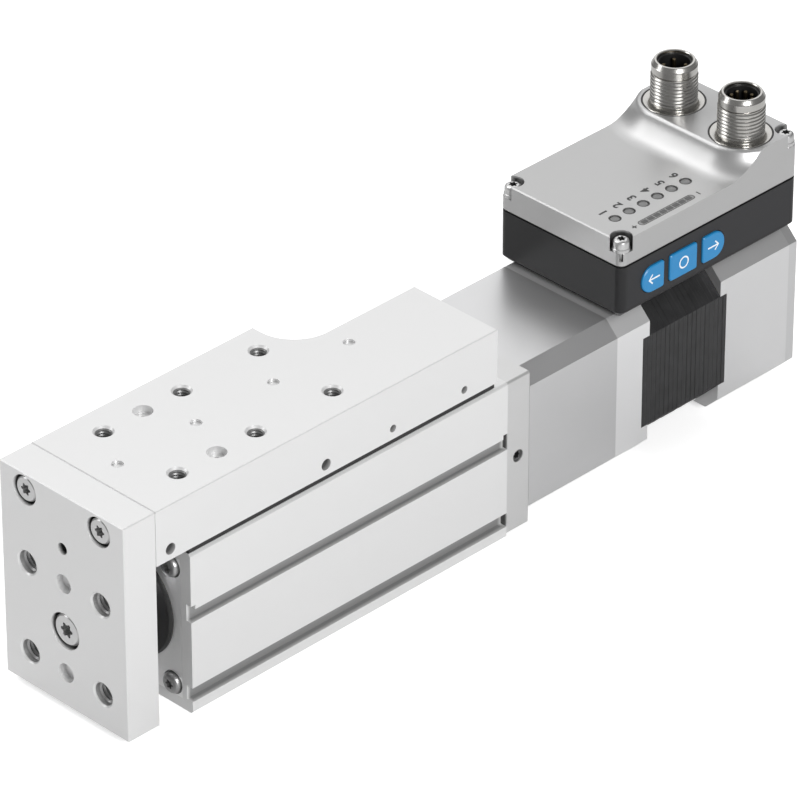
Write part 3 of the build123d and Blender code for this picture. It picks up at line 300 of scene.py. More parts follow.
def finish(
    name, colour, metallic, polish, drift=0.03, polish_drift=0.06, clouds=60.0, grain=4000.0, bump=0.15,
    lines=None, shade_boxes=(), specular=0.5,
):
    """A finish with its colour drift, polish and grain; its boxes of painted shade are each given as (low,
    high, reach, darkness).
    """
    material = bpy.data.materials.new(name)
    material.use_nodes = True
    tree = material.node_tree
    shader = tree.nodes["Principled BSDF"]
    place = tree.nodes.new("ShaderNodeTexCoord").outputs["Object"]
    tone = effect(
        tree, "cloud_tone", Colour=(*colour, 1.0), Colour_Drift=drift, Polish=polish,
        Polish_Drift=polish_drift, Cloud_Scale=clouds,
    )
    tree.links.new(place, tone.inputs["Place"])
    tint = tone.outputs["Colour"]
    # Painted shade: each box darkens the colour in the slots, wells and holes inside it.
    for low, high, reach, darkness in shade_boxes:
        shade = effect(tree, "hollow_shade", Low=low, High=high, Reach=reach, Darkness=darkness)
        tree.links.new(place, shade.inputs["Place"])
        tree.links.new(tint, shade.inputs["Colour"])
        tint = shade.outputs["Colour"]
    tree.links.new(tint, shader.inputs["Base Color"])
    tree.links.new(tone.outputs["Roughness"], shader.inputs["Roughness"])
    shader.inputs["Metallic"].default_value = metallic
    shader.inputs["Specular IOR Level"].default_value = specular
    if lines:
        relief = effect(tree, "drawn_lines", Stretch=lines, Line_Scale=grain)
    else:
        relief = effect(tree, "fine_grain", Grain_Scale=grain)
    tree.links.new(place, relief.inputs["Place"])
    bump_node = tree.nodes.new("ShaderNodeBump")
    bump_node.inputs["Strength"].default_value = bump
    bump_node.inputs["Distance"].default_value = 0.02 * MM
    tree.links.new(relief.outputs["Height"], bump_node.inputs["Height"])
    tree.links.new(bump_node.outputs["Normal"], shader.inputs["Normal"])
    return material


FINISH = {}


def inside(node, skin, reach, darkness):
    """The room inside a node's box, a skin's thickness in from each face, as a box of painted shade."""
    low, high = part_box(node)
    rim = Vector((skin, skin, skin))
    return tuple(low + rim), tuple(high - rim), reach, darkness


def seam(node, side):
    """Painted shade along the broken edge at the top of the seam between the front plate and the table,
    darkened to stand for the shaded joint.
    """
    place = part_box("slide_table")[0].y
    low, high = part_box(node)
    clear = 1.0 * MM
    edge = 0.24 * MM
    first, last = sorted((place - side * clear, place + side * edge))
    return (low.x - clear, first, high.z - 0.3 * MM), (high.x + clear, last, high.z + clear), 0.04 * MM, 0.3


def table_shade_boxes():
    """Boxes of painted shade for the holes in the right side of the table and along its seam with the front
    plate.
    """
    low, high, reach, darkness = inside("slide_table", 0.15 * MM, 1.2 * MM, 0.7)
    deepest = 6.0 * MM
    return [((high[0] - deepest, low[1], low[2]), high, reach, darkness), seam("slide_table", 1)]


def plate_shade_boxes():
    """Boxes of painted shade for the screw wells and the vent of the front plate, and along its seam with the
    table.
    """
    low, high, reach, darkness = inside("yoke_plate", 0.3 * MM, 0.9 * MM, 0.9)
    vent_foot = 43.5 * MM
    half = 5.4 * MM
    return [
        ((low[0], low[1], vent_foot), high, reach, darkness),
        ((-half, low[1], AXIS_HEIGHT - half), (half, high[1], AXIS_HEIGHT + half), reach, darkness),
        seam("yoke_plate", -1),
    ]


def cover_shade_boxes():
    """Boxes of painted shade for the screw wells at the four corners of the drive cover."""
    low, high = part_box("drive_cover")
    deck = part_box("status_lights")[1].z
    size = 5.4 * MM
    depth = 6.2 * MM
    skin = 0.12 * MM
    boxes = []
    for left in (low.x + skin, high.x - skin - size):
        for front, top in ((low.y + skin, deck), (high.y - skin - size, high.z)):
            boxes.append(((left, front, top - depth), (left + size, front + size, top - skin), 0.7 * MM, 0.8))
    return boxes


def mix_finishes(colours):
    """All finishes of the actuator, by the record's slot or by the name of a piece."""
    anodised = {"drift": 0.02, "grain": 5200.0, "bump": 0.2}
    turned = {"drift": 0.04, "grain": 4800.0, "bump": 0.3}
    cast = {"drift": 0.04, "grain": 4200.0, "bump": 0.3}
    FINISH["anodised_aluminium"] = finish(
        "anodised_aluminium", colours.anodised, metallic=0.4, polish=0.42, **anodised,
    )
    # Painted shade in the slots and holes of the body profile.
    slots = [inside("body_profile", 0.1 * MM, 1.1 * MM, 0.6)]
    FINISH["body_profile"] = finish(
        "anodised_body", colours.anodised, metallic=0.4, polish=0.42, shade_boxes=slots, **anodised,
    )
    FINISH["slide_table"] = finish(
        "anodised_table", colours.anodised, metallic=0.4, polish=0.42, shade_boxes=table_shade_boxes(), **anodised,
    )
    FINISH["yoke_plate"] = finish(
        "anodised_plate", colours.anodised, metallic=0.4, polish=0.42, shade_boxes=plate_shade_boxes(), **anodised,
    )
    # Painted shade: darker copies of the anodised finish for the thread liners, standing for the shade inside
    # the tapped holes of the plate and the table.
    FINISH["plate_thread"] = finish(
        "plate_thread", [0.62 * tone for tone in colours.anodised], metallic=0.5, polish=0.4, **anodised,
    )
    FINISH["table_thread"] = finish(
        "table_thread", [0.30 * tone for tone in colours.anodised], metallic=0.5, polish=0.4, **anodised,
    )
    # Painted shade in the screw wells of the front cover.
    wells = [inside("front_cover", 0.15 * MM, 0.5 * MM, 0.8)]
    FINISH["front_cover"] = finish(
        "front_cover", colours.front_cover, metallic=0.7, polish=0.38, shade_boxes=wells, **turned,
    )
    # Painted shade in the screw wells of the rear cover.
    wells = [inside("rear_cover", 0.15 * MM, 0.5 * MM, 0.85)]
    FINISH["rear_cover"] = finish(
        "rear_cover", colours.rear_cover, metallic=0.7, polish=0.38, shade_boxes=wells, **turned,
    )
    FINISH["cast_aluminium"] = finish("cast_aluminium", colours.cast, metallic=0.9, polish=0.33, **cast)
    FINISH["flange"] = finish("motor_flange", colours.flange, metallic=0.8, polish=0.35, **cast)
    FINISH["motor_cast"] = finish("motor_cast", colours.motor_cast, metallic=0.9, polish=0.35, **cast)
    FINISH["drive_cover"] = finish(
        "sprayed_cover", colours.cover, metallic=0.8, polish=0.40, drift=0.05, polish_drift=0.08,
        clouds=140.0, grain=2600.0, bump=0.45, shade_boxes=cover_shade_boxes(),
    )
    FINISH["dark_steel"] = finish(
        "dark_steel", (0.16, 0.16, 0.16), metallic=0.9, polish=0.35, drift=0.08, clouds=700.0,
    )
    # Painted shade: a near-black finish for the pits of the six-lobed recesses in the screw heads.
    FINISH["recess_shade"] = finish("recess_shade", (0.035, 0.035, 0.035), metallic=0.6, polish=0.5)
    # Painted shade: a darker copy of the screw steel for the pan-head screws of the front cover, which sit in
    # the shade under the front plate.
    FINISH["shaded_pan_steel"] = finish(
        "shaded_pan_steel", [0.7 * tone for tone in colours.screw], metallic=0.9, polish=0.33, drift=0.1,
        clouds=700.0,
    )
    FINISH["black_seal"] = finish(
        "black_seal", (0.012, 0.012, 0.012), metallic=0.0, polish=0.45, drift=0.1, grain=3000.0,
    )
    FINISH["bearing_bronze"] = finish("bearing_bronze", (0.55, 0.36, 0.16), metallic=0.9, polish=0.35)
    FINISH["steel"] = finish(
        "ground_steel", (0.62, 0.62, 0.63), metallic=1.0, polish=0.22, lines=(1.0, 0.02, 1.0), grain=2500.0,
    )
    FINISH["screw_steel"] = finish(
        "screw_steel", colours.screw, metallic=0.9, polish=0.33, drift=0.08, clouds=700.0, grain=5000.0,
    )
    FINISH["white_plug"] = finish("white_plug", (0.78, 0.78, 0.77), metallic=0.0, polish=0.45)
    FINISH["elastomer"] = finish("elastomer", (0.45, 0.04, 0.03), metallic=0.0, polish=0.6)
    FINISH["black_steel"] = finish(
        "black_sheets", (0.024, 0.024, 0.025), metallic=0.3, polish=0.42, drift=0.9, clouds=320.0,
        lines=(0.02, 1.0, 0.02), grain=1400.0, bump=0.3,
    )
    FINISH["copper"] = finish("copper_wire", (0.72, 0.32, 0.16), metallic=1.0, polish=0.3)
    FINISH["magnet"] = finish("magnet", (0.20, 0.20, 0.21), metallic=0.6, polish=0.4)
    FINISH["circuit_board"] = finish("circuit_board", (0.02, 0.13, 0.05), metallic=0.0, polish=0.4)
    FINISH["black_plastic"] = finish(
        "moulded_black", colours.black, metallic=0.0, polish=0.42, drift=0.15, clouds=200.0,
        grain=3500.0, bump=0.35, specular=0.35,
    )
    FINISH["panel_film"] = finish(
        "panel_film", colours.film, metallic=0.0, polish=0.45, drift=0.08, grain=1500.0, bump=0.05,
        specular=0.4,
    )
    FINISH["blue_button"] = finish(
        "blue_button", colours.blue, metallic=0.0, polish=0.35, drift=0.1, clouds=500.0,
        grain=3000.0, bump=0.1,
    )
    FINISH["light_lens"] = finish(
        "light_lens", (0.17, 0.17, 0.17), metallic=0.0, polish=0.3, drift=0.3, clouds=900.0,
    )
    FINISH["window_dark"] = finish(
        "level_frame", (0.24, 0.24, 0.24), metallic=0.0, polish=0.35, drift=0.2, clouds=900.0,
    )
    FINISH["bar_segment"] = finish(
        "bar_segment", (0.07, 0.07, 0.07), metallic=0.0, polish=0.35, drift=0.4, clouds=900.0,
    )
    FINISH["nickel"] = finish(
        "nickel_plate", colours.nickel, metallic=1.0, polish=0.24, drift=0.12, clouds=500.0,
        grain=2600.0, bump=0.2,
    )
    FINISH["contact_gold"] = finish("contact_metal", (0.10, 0.08, 0.05), metallic=1.0, polish=0.45)
    FINISH["black_insert"] = finish("black_insert", (0.008, 0.008, 0.008), metallic=0.0, polish=0.5)
    FINISH["white_ink"] = finish("white_ink", (0.80, 0.82, 0.84), metallic=0.0, polish=0.4)
    FINISH["dark_ink"] = finish(
        "dark_ink", (0.035, 0.035, 0.035), metallic=0.0, polish=0.5, drift=0.4, clouds=2500.0,
    )
    FINISH["frame_ink"] = finish("frame_ink", (0.10, 0.10, 0.10), metallic=0.0, polish=0.45)


# Modelling steps


def clear_hands():
    """Object mode, with nothing selected."""
    if bpy.context.object is not None and bpy.context.object.mode != "OBJECT":
        bpy.ops.object.mode_set(mode="OBJECT")
    bpy.ops.object.select_all(action="DESELECT")


def edit_piece():
    """Edit mode on the vertices of the piece in hand, with nothing selected."""
    bpy.ops.object.mode_set(mode="EDIT")
    bpy.ops.mesh.select_mode(type="VERT")
    bpy.ops.mesh.select_all(action="DESELECT")


def pick(test):
    """Selects the vertices of the piece in hand that pass a test."""
    mesh = bpy.context.object.data
    shape = bmesh.from_edit_mesh(mesh)
    for vertex in shape.verts:
        vertex.select_set(bool(test(vertex)))
    bmesh.update_edit_mesh(mesh)


def pull_rings(centre, profile, axis, tube):
    """Pulls the outline in hand along an axis through (radius, place) pairs, and closes the form."""
    radius, place = profile[0]
    middle_point = Vector(centre)
    bpy.ops.mesh.select_all(action="SELECT")
    for next_radius, next_place in profile[1:]:
        step = Vector((0.0, 0.0, 0.0))
        step[axis] = next_place - place
        bpy.ops.mesh.extrude_edges_move(TRANSFORM_OT_translate={"value": step})
        middle_point[axis] = next_place
        share = next_radius / radius
        scale = [share, share, share]
        scale[axis] = 1.0
        bpy.ops.transform.resize(value=scale, center_override=middle_point)
        radius, place = next_radius, next_place
    if not tube:
        bpy.ops.mesh.edge_face_add()
    bpy.ops.mesh.select_all(action="DESELECT")
    bpy.ops.mesh.select_non_manifold()
    if tube:
        bpy.ops.mesh.bridge_edge_loops()
    else:
        bpy.ops.mesh.edge_face_add()
    bpy.ops.mesh.select_all(action="SELECT")
    bpy.ops.mesh.normals_make_consistent(inside=False)
    bpy.ops.object.mode_set(mode="OBJECT")


def turn(centre, profile, sides=64, axis=2, tube=False):
    """A closed turned form about a line along Y (1) or Z (2), through (radius, place) pairs."""
    clear_hands()
    start = Vector(centre)
    start[axis] = profile[0][1]
    tilt = (math.radians(90), 0.0, 0.0) if axis == 1 else (0.0, 0.0, 0.0)
    bpy.ops.mesh.primitive_circle_add(
        vertices=sides, radius=profile[0][0], fill_type="NOTHING", location=start, rotation=tilt,
    )
    bpy.ops.object.transform_apply(location=True, rotation=True, scale=True)
    edit_piece()
    pull_rings(centre, profile, axis, tube)


def thread_liner(centre, first, last, outer, inner, pitch, axis):
    """Cut thread as a tube that lines a hole from its first to its last place along an axis."""
    profile = [(outer, first), (outer, last)]
    root = outer - 0.06 * MM
    place = last
    while place - pitch > first + 0.1 * MM:
        profile += [(inner, place - 0.35 * pitch), (inner, place - 0.5 * pitch), (root, place - 0.9 * pitch)]
        place -= pitch
    turn(centre, profile, 40, axis=axis, tube=True)


def hand_over(name, body, slot, material, *replaced, angle=30.0):
    """Finishes the piece in hand: its place goes into its mesh, and it gets its finish and its body."""
    piece = bpy.context.object
    if piece.mode != "OBJECT":
        bpy.ops.object.mode_set(mode="OBJECT")
    bpy.ops.object.transform_apply(location=True, rotation=True, scale=True)
    piece.name = name
    piece.data.name = name
    bpy.ops.object.shade_smooth_by_angle(angle=math.radians(angle))
    piece.data.materials.clear()
    piece.data.materials.append(material)
    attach(piece, body)
    if replaced:
        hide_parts(*replaced)
    return piece


def solid_slab(step):
    """Pulls the flat outline in hand into a closed slab."""
    bpy.ops.mesh.select_mode(type="FACE")
    bpy.ops.mesh.select_all(action="SELECT")
    bpy.ops.mesh.extrude_region_move(TRANSFORM_OT_translate={"value": step})
    bpy.ops.mesh.select_all(action="SELECT")
    bpy.ops.mesh.normals_make_consistent(inside=False)
    bpy.ops.object.mode_set(mode="OBJECT")


def repeat_rearwards(count, pitch):
    """Repeats the piece in hand in a row along Y."""
    row = bpy.context.object.modifiers.new("row", "ARRAY")
    row.use_relative_offset = False
    row.use_constant_offset = True
    row.constant_offset_displace = (0.0, pitch, 0.0)
    row.count = count
    bpy.ops.object.modifier_apply(modifier="row")


def circle_points(centre, radius, first=0, second=1, steps=24):
    """Points of a ring of a sign, in the plane of two axes."""
    points = []
    for step in range(steps + 1):
        spot = math.radians(360 / steps * step)
        point = Vector(centre)
        point[first] += radius * math.cos(spot)
        point[second] += radius * math.sin(spot)
        points.append(point)
    return points


def line_sign(strokes, width, face, depth_axis):
    """A printed sign of round-ended lines on a face, flat along one axis; strokes are lists of points."""
    clear_hands()
    curve = bpy.data.curves.new("strokes", "CURVE")
    curve.dimensions = "3D"
    curve.bevel_depth = width / 2
    curve.bevel_resolution = 2
    curve.use_fill_caps = True
    for points in strokes:
        spline = curve.splines.new("POLY")
        spline.points.add(len(points) - 1)
        for point, place in zip(spline.points, points):
            point.co = (*place, 1.0)
    sign = bpy.data.objects.new("strokes", curve)
    bpy.context.scene.collection.objects.link(sign)
    bpy.context.view_layer.objects.active = sign
    sign.select_set(True)
    bpy.ops.object.convert(target="MESH")
    edit_piece()
    bpy.ops.mesh.select_all(action="SELECT")
    flat = [1.0, 1.0, 1.0]
    flat[depth_axis] = 0.22
    bpy.ops.transform.resize(value=flat, center_override=face)
    bpy.ops.object.mode_set(mode="OBJECT")


class ACTUATOR_OT_finishes(bpy.types.Operator):
    """Mixes the finishes and gives each CAD node its own"""

    bl_idname = "actuator.finishes"
    bl_label = "Finishes"

    def execute(self, context):
        mix_finishes(context.scene.actuator_finishes)
        special = {
            "control_panel": "panel_film", "cover_side_plug": "dark_steel", "front_cover_screws": "shaded_pan_steel",
            "motor_front_flange": "flange", "motor_rear_housing": "motor_cast",
        }
        for name in ("body_profile", "slide_table", "yoke_plate", "front_cover", "rear_cover", "drive_cover"):
            special[name] = name
        for name, node in NODES.items():
            node.data.materials.clear()
            node.data.materials.append(FINISH[special.get(name, SLOT_OF[name])])
        return {"FINISHED"}


class ACTUATOR_OT_sockets(bpy.types.Operator):
    """Turns the threaded shells of the two plug sockets"""

    bl_idname = "actuator.sockets"
    bl_label = "Plug sockets"

    def execute(self, context):
        sizes = context.scene.actuator_details
        pitch = sizes.thread_pitch
        crest = 6.0 * MM
        root = crest - sizes.thread_depth
        shank, flange, relief = 5.4 * MM, 7.8 * MM, 5.35 * MM
        head, neck, lip, brim, mouth = 5.85 * MM, 5.6 * MM, 5.3 * MM, 5.05 * MM, 4.4 * MM
        shell_height = 11.8 * MM
        flange_thickness = 1.8 * MM
        thread_length = 8.2 * MM
        mouth_depth = 8.4 * MM
        cup, cup_lip = 4.38 * MM, 3.95 * MM
        for name in ("power_socket", "signal_socket"):
            low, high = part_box(name + "_shell")
            centre = (low + high) / 2
            face = high.z - shell_height
            seat = face - flange_thickness
            foot = face - 0.15 * MM
            profile = [(shank, low.z), (shank, seat), (flange, seat), (flange, face - 0.12 * MM)]
            profile += [(flange - 0.12 * MM, face), (crest + 0.3 * MM, face)]
            profile += [(crest + 0.1 * MM, foot), (root, foot)]
            height = face + 0.35 * MM
            profile.append((root, height))
            while height < face + thread_length:
                for share, radius in ((0.25, crest), (0.5, crest), (0.8, root), (1.0, root)):
                    profile.append((radius, height + share * pitch))
                height += pitch
            collar = height + 0.25 * MM
            profile += [(relief, height + 0.05 * MM), (relief, collar), (head, collar + 0.25 * MM)]
            profile += [(head, high.z - 1.2 * MM), (neck, high.z - 0.95 * MM), (lip, high.z - 0.25 * MM)]
            profile += [(brim, high.z), (mouth + 0.2 * MM, high.z)]
            profile += [(mouth, high.z - 0.2 * MM), (mouth, high.z - mouth_depth)]
            turn(centre, profile, 72)
            hand_over(name + "_threaded", "housing", "nickel", FINISH["nickel"], name + "_shell", angle=40.0)
            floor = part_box(name + "_insert")[0].z
            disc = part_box(name + "_pins")[0].z
            rim = high.z - 0.9 * MM
            profile = [(cup, floor), (cup, rim), (cup - 0.08 * MM, rim + 0.05 * MM), (cup_lip, rim)]
            profile += [(cup_lip - 0.05 * MM, disc + 0.2 * MM), (cup_lip - 0.2 * MM, disc), (0.4 * MM, disc)]
            turn(centre, profile, 48)
            hand_over(name + "_cup", "housing", "black_insert", FINISH["black_insert"], name + "_insert")
        return {"FINISHED"}


class ACTUATOR_OT_hole_threads(bpy.types.Operator):
    """Cuts the threads of the tapped holes in the front plate and the table"""

    bl_idname = "actuator.hole_threads"
    bl_label = "Hole threads"

    def execute(self, context):
        sizes = context.scene.actuator_details
        plate_low, plate_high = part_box("yoke_plate")
        table_low, table_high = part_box("slide_table")
        mouth = 0.55 * MM
        depth = 6.9 * MM
        # Each liner takes a darker copy of the anodised finish, painted shade for the inside of its hole.
        for side, word in SIDES:
            for row, height in PLATE_ROWS:
                centre = (side * HOLE_HALF, 0.0, height)
                front, back = plate_low.y + mouth, plate_high.y - 0.4 * MM
                thread_liner(centre, front, back, 2.98 * MM, 2.5 * MM, sizes.plate_pitch, 1)
                name = "plate_thread_" + word + "_" + row
                hand_over(name, "carriage", "anodised_aluminium", FINISH["plate_thread"])
            for row, step in TABLE_ROWS:
                centre = (side * HOLE_HALF, table_low.y + step, 0.0)
                foot, top = table_high.z - depth, table_high.z - mouth
                thread_liner(centre, foot, top, 2.09 * MM, 1.8 * MM, sizes.table_pitch, 2)
                name = "table_thread_" + word + "_" + row
                hand_over(name, "carriage", "anodised_aluminium", FINISH["table_thread"])
        return {"FINISHED"}


class ACTUATOR_OT_gap_shade_strips(bpy.types.Operator):
    """Hangs a thin dark strip under each side edge of the table, a dark piece that stands for the shade in
    the gap above the body
    """

    bl_idname = "actuator.edge_strips"
    bl_label = "Gap shade strips"

    def execute(self, context):
        table_low, table_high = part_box("slide_table")
        body_low, body_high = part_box("body_profile")
        width = 1.0 * MM
        inset = 0.4 * MM
        play = 0.2 * MM
        top = table_low.z
        drop = top - body_high.z - play
        end_gaps = {"left": TABLE_CUT + 0.8 * MM, "right": 0.6 * MM}
        for side, word in SIDES:
            clear_hands()
            start = Vector((side * (table_high.x - inset - width / 2), body_low.y, top - drop / 2))
            bpy.ops.mesh.primitive_plane_add(size=1.0, location=start, rotation=(math.radians(90), 0.0, 0.0))
            bpy.ops.transform.resize(value=(width, 1.0, drop), center_override=start)
            bpy.ops.object.transform_apply(location=True, rotation=True, scale=True)
            edit_piece()
            pick(lambda vertex: vertex.co.z < top - drop / 2)
            bpy.ops.mesh.bevel(offset=0.25 * MM, affect="VERTICES", segments=3)
            solid_slab((0.0, table_high.y - end_gaps[word] - body_low.y, 0.0))
            # The strip's near-black finish is painted shade for the gap between the table and the body.
            hand_over("table_gap_shade_strip_" + word, "carriage", "black_seal", FINISH["black_insert"])
        return {"FINISHED"}


class ACTUATOR_OT_motor_sheets(bpy.types.Operator):
    """Stacks the edges of the motor's steel sheets"""

    bl_idname = "actuator.motor_sheets"
    bl_label = "Motor sheets"

    def execute(self, context):
        sizes = context.scene.actuator_details
        low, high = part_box("motor_laminations")
        centre = (low + high) / 2
        inset = 0.2 * MM
        edge = 0.08 * MM
        corner_cut = 8.2 * MM
        front, rear = low.y + inset, high.y - inset
        outer = (high.x - low.x) / 2 + 0.2 * MM
        inner = outer - 0.5 * MM
        clear_hands()
        bpy.ops.mesh.primitive_plane_add(
            size=2 * outer, location=(centre.x, front, centre.z), rotation=(math.radians(90), 0.0, 0.0),
        )
        bpy.ops.object.transform_apply(location=True, rotation=True, scale=True)
        edit_piece()
        bpy.ops.mesh.select_all(action="SELECT")
        bpy.ops.mesh.bevel(offset=corner_cut, affect="VERTICES", segments=1)
        bpy.ops.mesh.select_all(action="SELECT")
        bpy.ops.mesh.delete(type="ONLY_FACE")
        chance = random.Random(5)
        valley = outer - sizes.sheet_step
        profile = [(outer, front)]
        place = front
        while place + 1.4 * sizes.sheet_pitch < rear:
            length = sizes.sheet_pitch * (0.6 + 0.3 * chance.random())
            ridge = outer - 0.6 * sizes.sheet_step * chance.random()
            profile += [(ridge, place + edge), (ridge, place + length), (valley, place + length + edge)]
            place += sizes.sheet_pitch
            profile.append((valley, place))
        profile += [(outer, place + edge), (outer, rear), (inner, rear), (inner, front)]
        pull_rings(centre, profile, 1, True)
        hand_over("motor_sheet_edges", "housing", "black_steel", FINISH["black_steel"])
        return {"FINISHED"}


class ACTUATOR_OT_button_signs(bpy.types.Operator):
    """Prints an arrow on each outer button and a plain ring on the middle one"""

    bl_idname = "actuator.button_signs"
    bl_label = "Button signs"

    def execute(self, context):
        width = context.scene.actuator_details.stroke_width
        reach = 1.9 * MM
        barb = 1.25 * MM
        shift = 0.3 * MM
        ring_radius = 1.5 * MM
        for node, way in (("button_back", -1), ("button_forward", 1)):
            centre = middle(node)
            face = Vector((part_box(node)[1].x, centre.y - way * shift, centre.z))
            tip = face + Vector((0.0, way * reach, 0.0))
            tail = face - Vector((0.0, way * reach, 0.0))
            ends = [tip + Vector((0.0, -way * barb, side * barb)) for side in (-1, 1)]
            line_sign([[tail, tip], [ends[0], tip, ends[1]]], width, face, 0)
            hand_over(node + "_arrow", node, "white_plug", FINISH["white_ink"])
        face = middle("button_middle")
        face.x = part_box("button_middle")[1].x
        line_sign([circle_points(face, ring_radius, 1, 2)], width, face, 0)
        hand_over("button_middle_ring", "button_middle", "white_plug", FINISH["white_ink"])
        return {"FINISHED"}


class ACTUATOR_OT_cover_screws(bpy.types.Operator):
    """Turns the domed screws in the corners of the drive cover, with their six-lobed recesses"""

    bl_idname = "actuator.cover_screws"
    bl_label = "Cover screws"

    def execute(self, context):
        low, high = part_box("drive_cover_screws")
        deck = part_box("status_lights")[1].z
        raised_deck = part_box("drive_cover")[1].z
        shank, washer, head = 1.2 * MM, 2.25 * MM, 2.1 * MM
        brow, crown_edge, pit = 1.9 * MM, 1.45 * MM, 1.1 * MM
        well = 3.9 * MM
        sunk = 0.75 * MM
        pit_depth = 1.1 * MM
        for x, word in ((low.x + head, "left"), (high.x - head, "right")):
            for y, top, end in ((low.y + head, deck, "front"), (high.y - head, raised_deck, "rear")):
                seat = top - well
                crown = top - sunk
                profile = [(shank, seat - 3.0 * MM), (shank, seat), (washer, seat), (washer, seat + 0.9 * MM)]
                profile += [(head, seat + 1.0 * MM), (head, crown - 0.75 * MM), (brow, crown - 0.3 * MM)]
                profile += [(crown_edge, crown), (pit, crown + 0.03 * MM)]
                profile += [(pit - 0.05 * MM, crown - 0.1 * MM), (pit - 0.15 * MM, crown - pit_depth)]
                turn((x, y, 0.0), profile, 36)
                edit_piece()
                centre = Vector((x, y, 0.0))

                def in_pit(place, reach):
                    return place.z > crown - 1.2 * MM and math.hypot(place.x - x, place.y - y) < reach

                def between_lobes(vertex):
                    spot = math.degrees(math.atan2(vertex.co.y - y, vertex.co.x - x)) % 60
                    return in_pit(vertex.co, 1.12 * MM) and 15 < spot < 45

                pick(between_lobes)
                bpy.ops.transform.resize(value=(0.72, 0.72, 1.0), center_override=centre)
                name = "cover_screw_" + word + "_" + end
                screw = hand_over(name, "housing", "screw_steel", FINISH["screw_steel"], "drive_cover_screws")
                # The faces in the pit of the recess take the near-black finish, painted shade for the inside
                # of the recess.
                screw.data.materials.append(FINISH["recess_shade"])
                for face in screw.data.polygons:
                    if in_pit(face.center, 1.08 * MM) and face.center.z < crown:
                        face.material_index = 1
        return {"FINISHED"}


def light_row():
    """First light's centre, radius and pitch of the status lights."""
    low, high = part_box("status_lights")
    radius = (high.x - low.x) / 2
    pitch = (high.y - low.y - 2 * radius) / (LIGHT_COUNT - 1)
    return Vector(((low.x + high.x) / 2, low.y + radius, high.z)), radius, pitch


class ACTUATOR_OT_status_lights(bpy.types.Operator):
    """Sets the six lens pads of the status lights, each in a dark ring"""

    bl_idname = "actuator.status_lights"
    bl_label = "Status lights"

    def execute(self, context):
        top, radius, pitch = light_row()
        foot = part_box("status_lights")[0].z
        edge = radius - 0.14 * MM
        profile = [(edge, foot), (edge, top.z - 0.3 * MM), (edge - 0.12 * MM, top.z - 0.16 * MM)]
        profile += [(edge * 0.7, top.z - 0.05 * MM), (edge * 0.3, top.z)]
        turn(top, profile, 32)
        repeat_rearwards(LIGHT_COUNT, pitch)
        hand_over("status_lens_pads", "housing", "light_lens", FINISH["light_lens"], "status_lights")
        spots = [top + Vector((0.0, pitch * light, 0.0)) for light in range(LIGHT_COUNT)]
        rings = [circle_points(spot, radius) for spot in spots]
        line_sign(rings, 0.26 * MM, top, 2)
        hand_over("status_light_rings", "housing", "black_seal", FINISH["dark_ink"])
        return {"FINISHED"}


class ACTUATOR_OT_level_bar(bpy.types.Operator):
    """Divides the level window into its segments"""

    bl_idname = "actuator.level_bar"
    bl_label = "Level bar"

    def execute(self, context):
        count = context.scene.actuator_details.bar_segments
        low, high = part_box("level_window")
        middle_line = (low.x + high.x) / 2
        gap = 0.35 * MM
        end_margin = 0.6 * MM
        sunk = 0.05 * MM
        pitch = (high.y - low.y - 2 * end_margin) / count
        width = (high.x - low.x) - 0.5 * MM
        clear_hands()
        start = Vector((middle_line, low.y + end_margin + pitch / 2, high.z - sunk))
        bpy.ops.mesh.primitive_plane_add(size=1.0, location=start)
        bpy.ops.transform.resize(value=(width, pitch - gap, 1.0), center_override=start)
        bpy.ops.object.transform_apply(location=True, rotation=True, scale=True)
        edit_piece()
        bpy.ops.mesh.select_all(action="SELECT")
        bpy.ops.mesh.bevel(offset=0.25 * MM, affect="VERTICES", segments=3)
        solid_slab((0.0, 0.0, 0.09 * MM))
        repeat_rearwards(count, pitch)
        hand_over("level_bar_segments", "housing", "window_dark", FINISH["bar_segment"])
        rim = 0.1 * MM
        half = (high.x - low.x) / 2 + rim
        outline = []
        for end, way in ((low.y + half - rim, 180), (high.y - half + rim, 0)):
            for step in range(13):
                spot = math.radians(way + 15 * step)
                across = middle_line + half * math.cos(spot)
                outline.append(Vector((across, end + half * math.sin(spot), high.z)))
        line_sign([outline + outline[:1]], 0.3 * MM, outline[0], 2)
        hand_over("level_bar_frame", "housing", "black_seal", FINISH["frame_ink"])
        return {"FINISHED"}


class ACTUATOR_OT_cover_signs(bpy.types.Operator):
    """Prints plain numbers beside the lights and signs at the ends of the level bar"""

    bl_idname = "actuator.cover_signs"
    bl_label = "Cover signs"

    def execute(self, context):
        digit_height = context.scene.actuator_details.digit_height
        top, radius, pitch = light_row()
        beside = radius + 2.4 * MM
        for number in range(LIGHT_COUNT):
            clear_hands()
            bpy.ops.object.text_add(rotation=(0.0, 0.0, math.pi))
            text = bpy.context.object
            text.data.body = str(number + 1)
            text.data.size = digit_height * 1.4
            text.data.extrude = 0.02 * MM
            text.data.offset = 0.11 * MM
            text.data.align_x = "CENTER"
            text.data.align_y = "CENTER"
            text.location = top + Vector((-beside, pitch * number, 0.01 * MM))
            bpy.ops.object.convert(target="MESH")
            hand_over("light_number_" + str(number + 1), "housing", "black_seal", FINISH["dark_ink"])
        low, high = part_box("level_window")
        reach = 1.9 * MM
        half = 0.75 * MM
        width = 0.4 * MM
        middle_line = (low.x + high.x) / 2
        front = Vector((middle_line, low.y - reach, high.z))
        rear = Vector((middle_line, high.y + reach, high.z))
        across = Vector((half, 0.0, 0.0))
        along = Vector((0.0, half, 0.0))
        line_sign([[front - across, front + across], [front - along, front + along]], width, front, 2)
        hand_over("plus_sign", "housing", "black_seal", FINISH["dark_ink"])
        line_sign([[rear - across, rear + across]], width, rear, 2)
        hand_over("minus_sign", "housing", "black_seal", FINISH["dark_ink"])
        return {"FINISHED"}


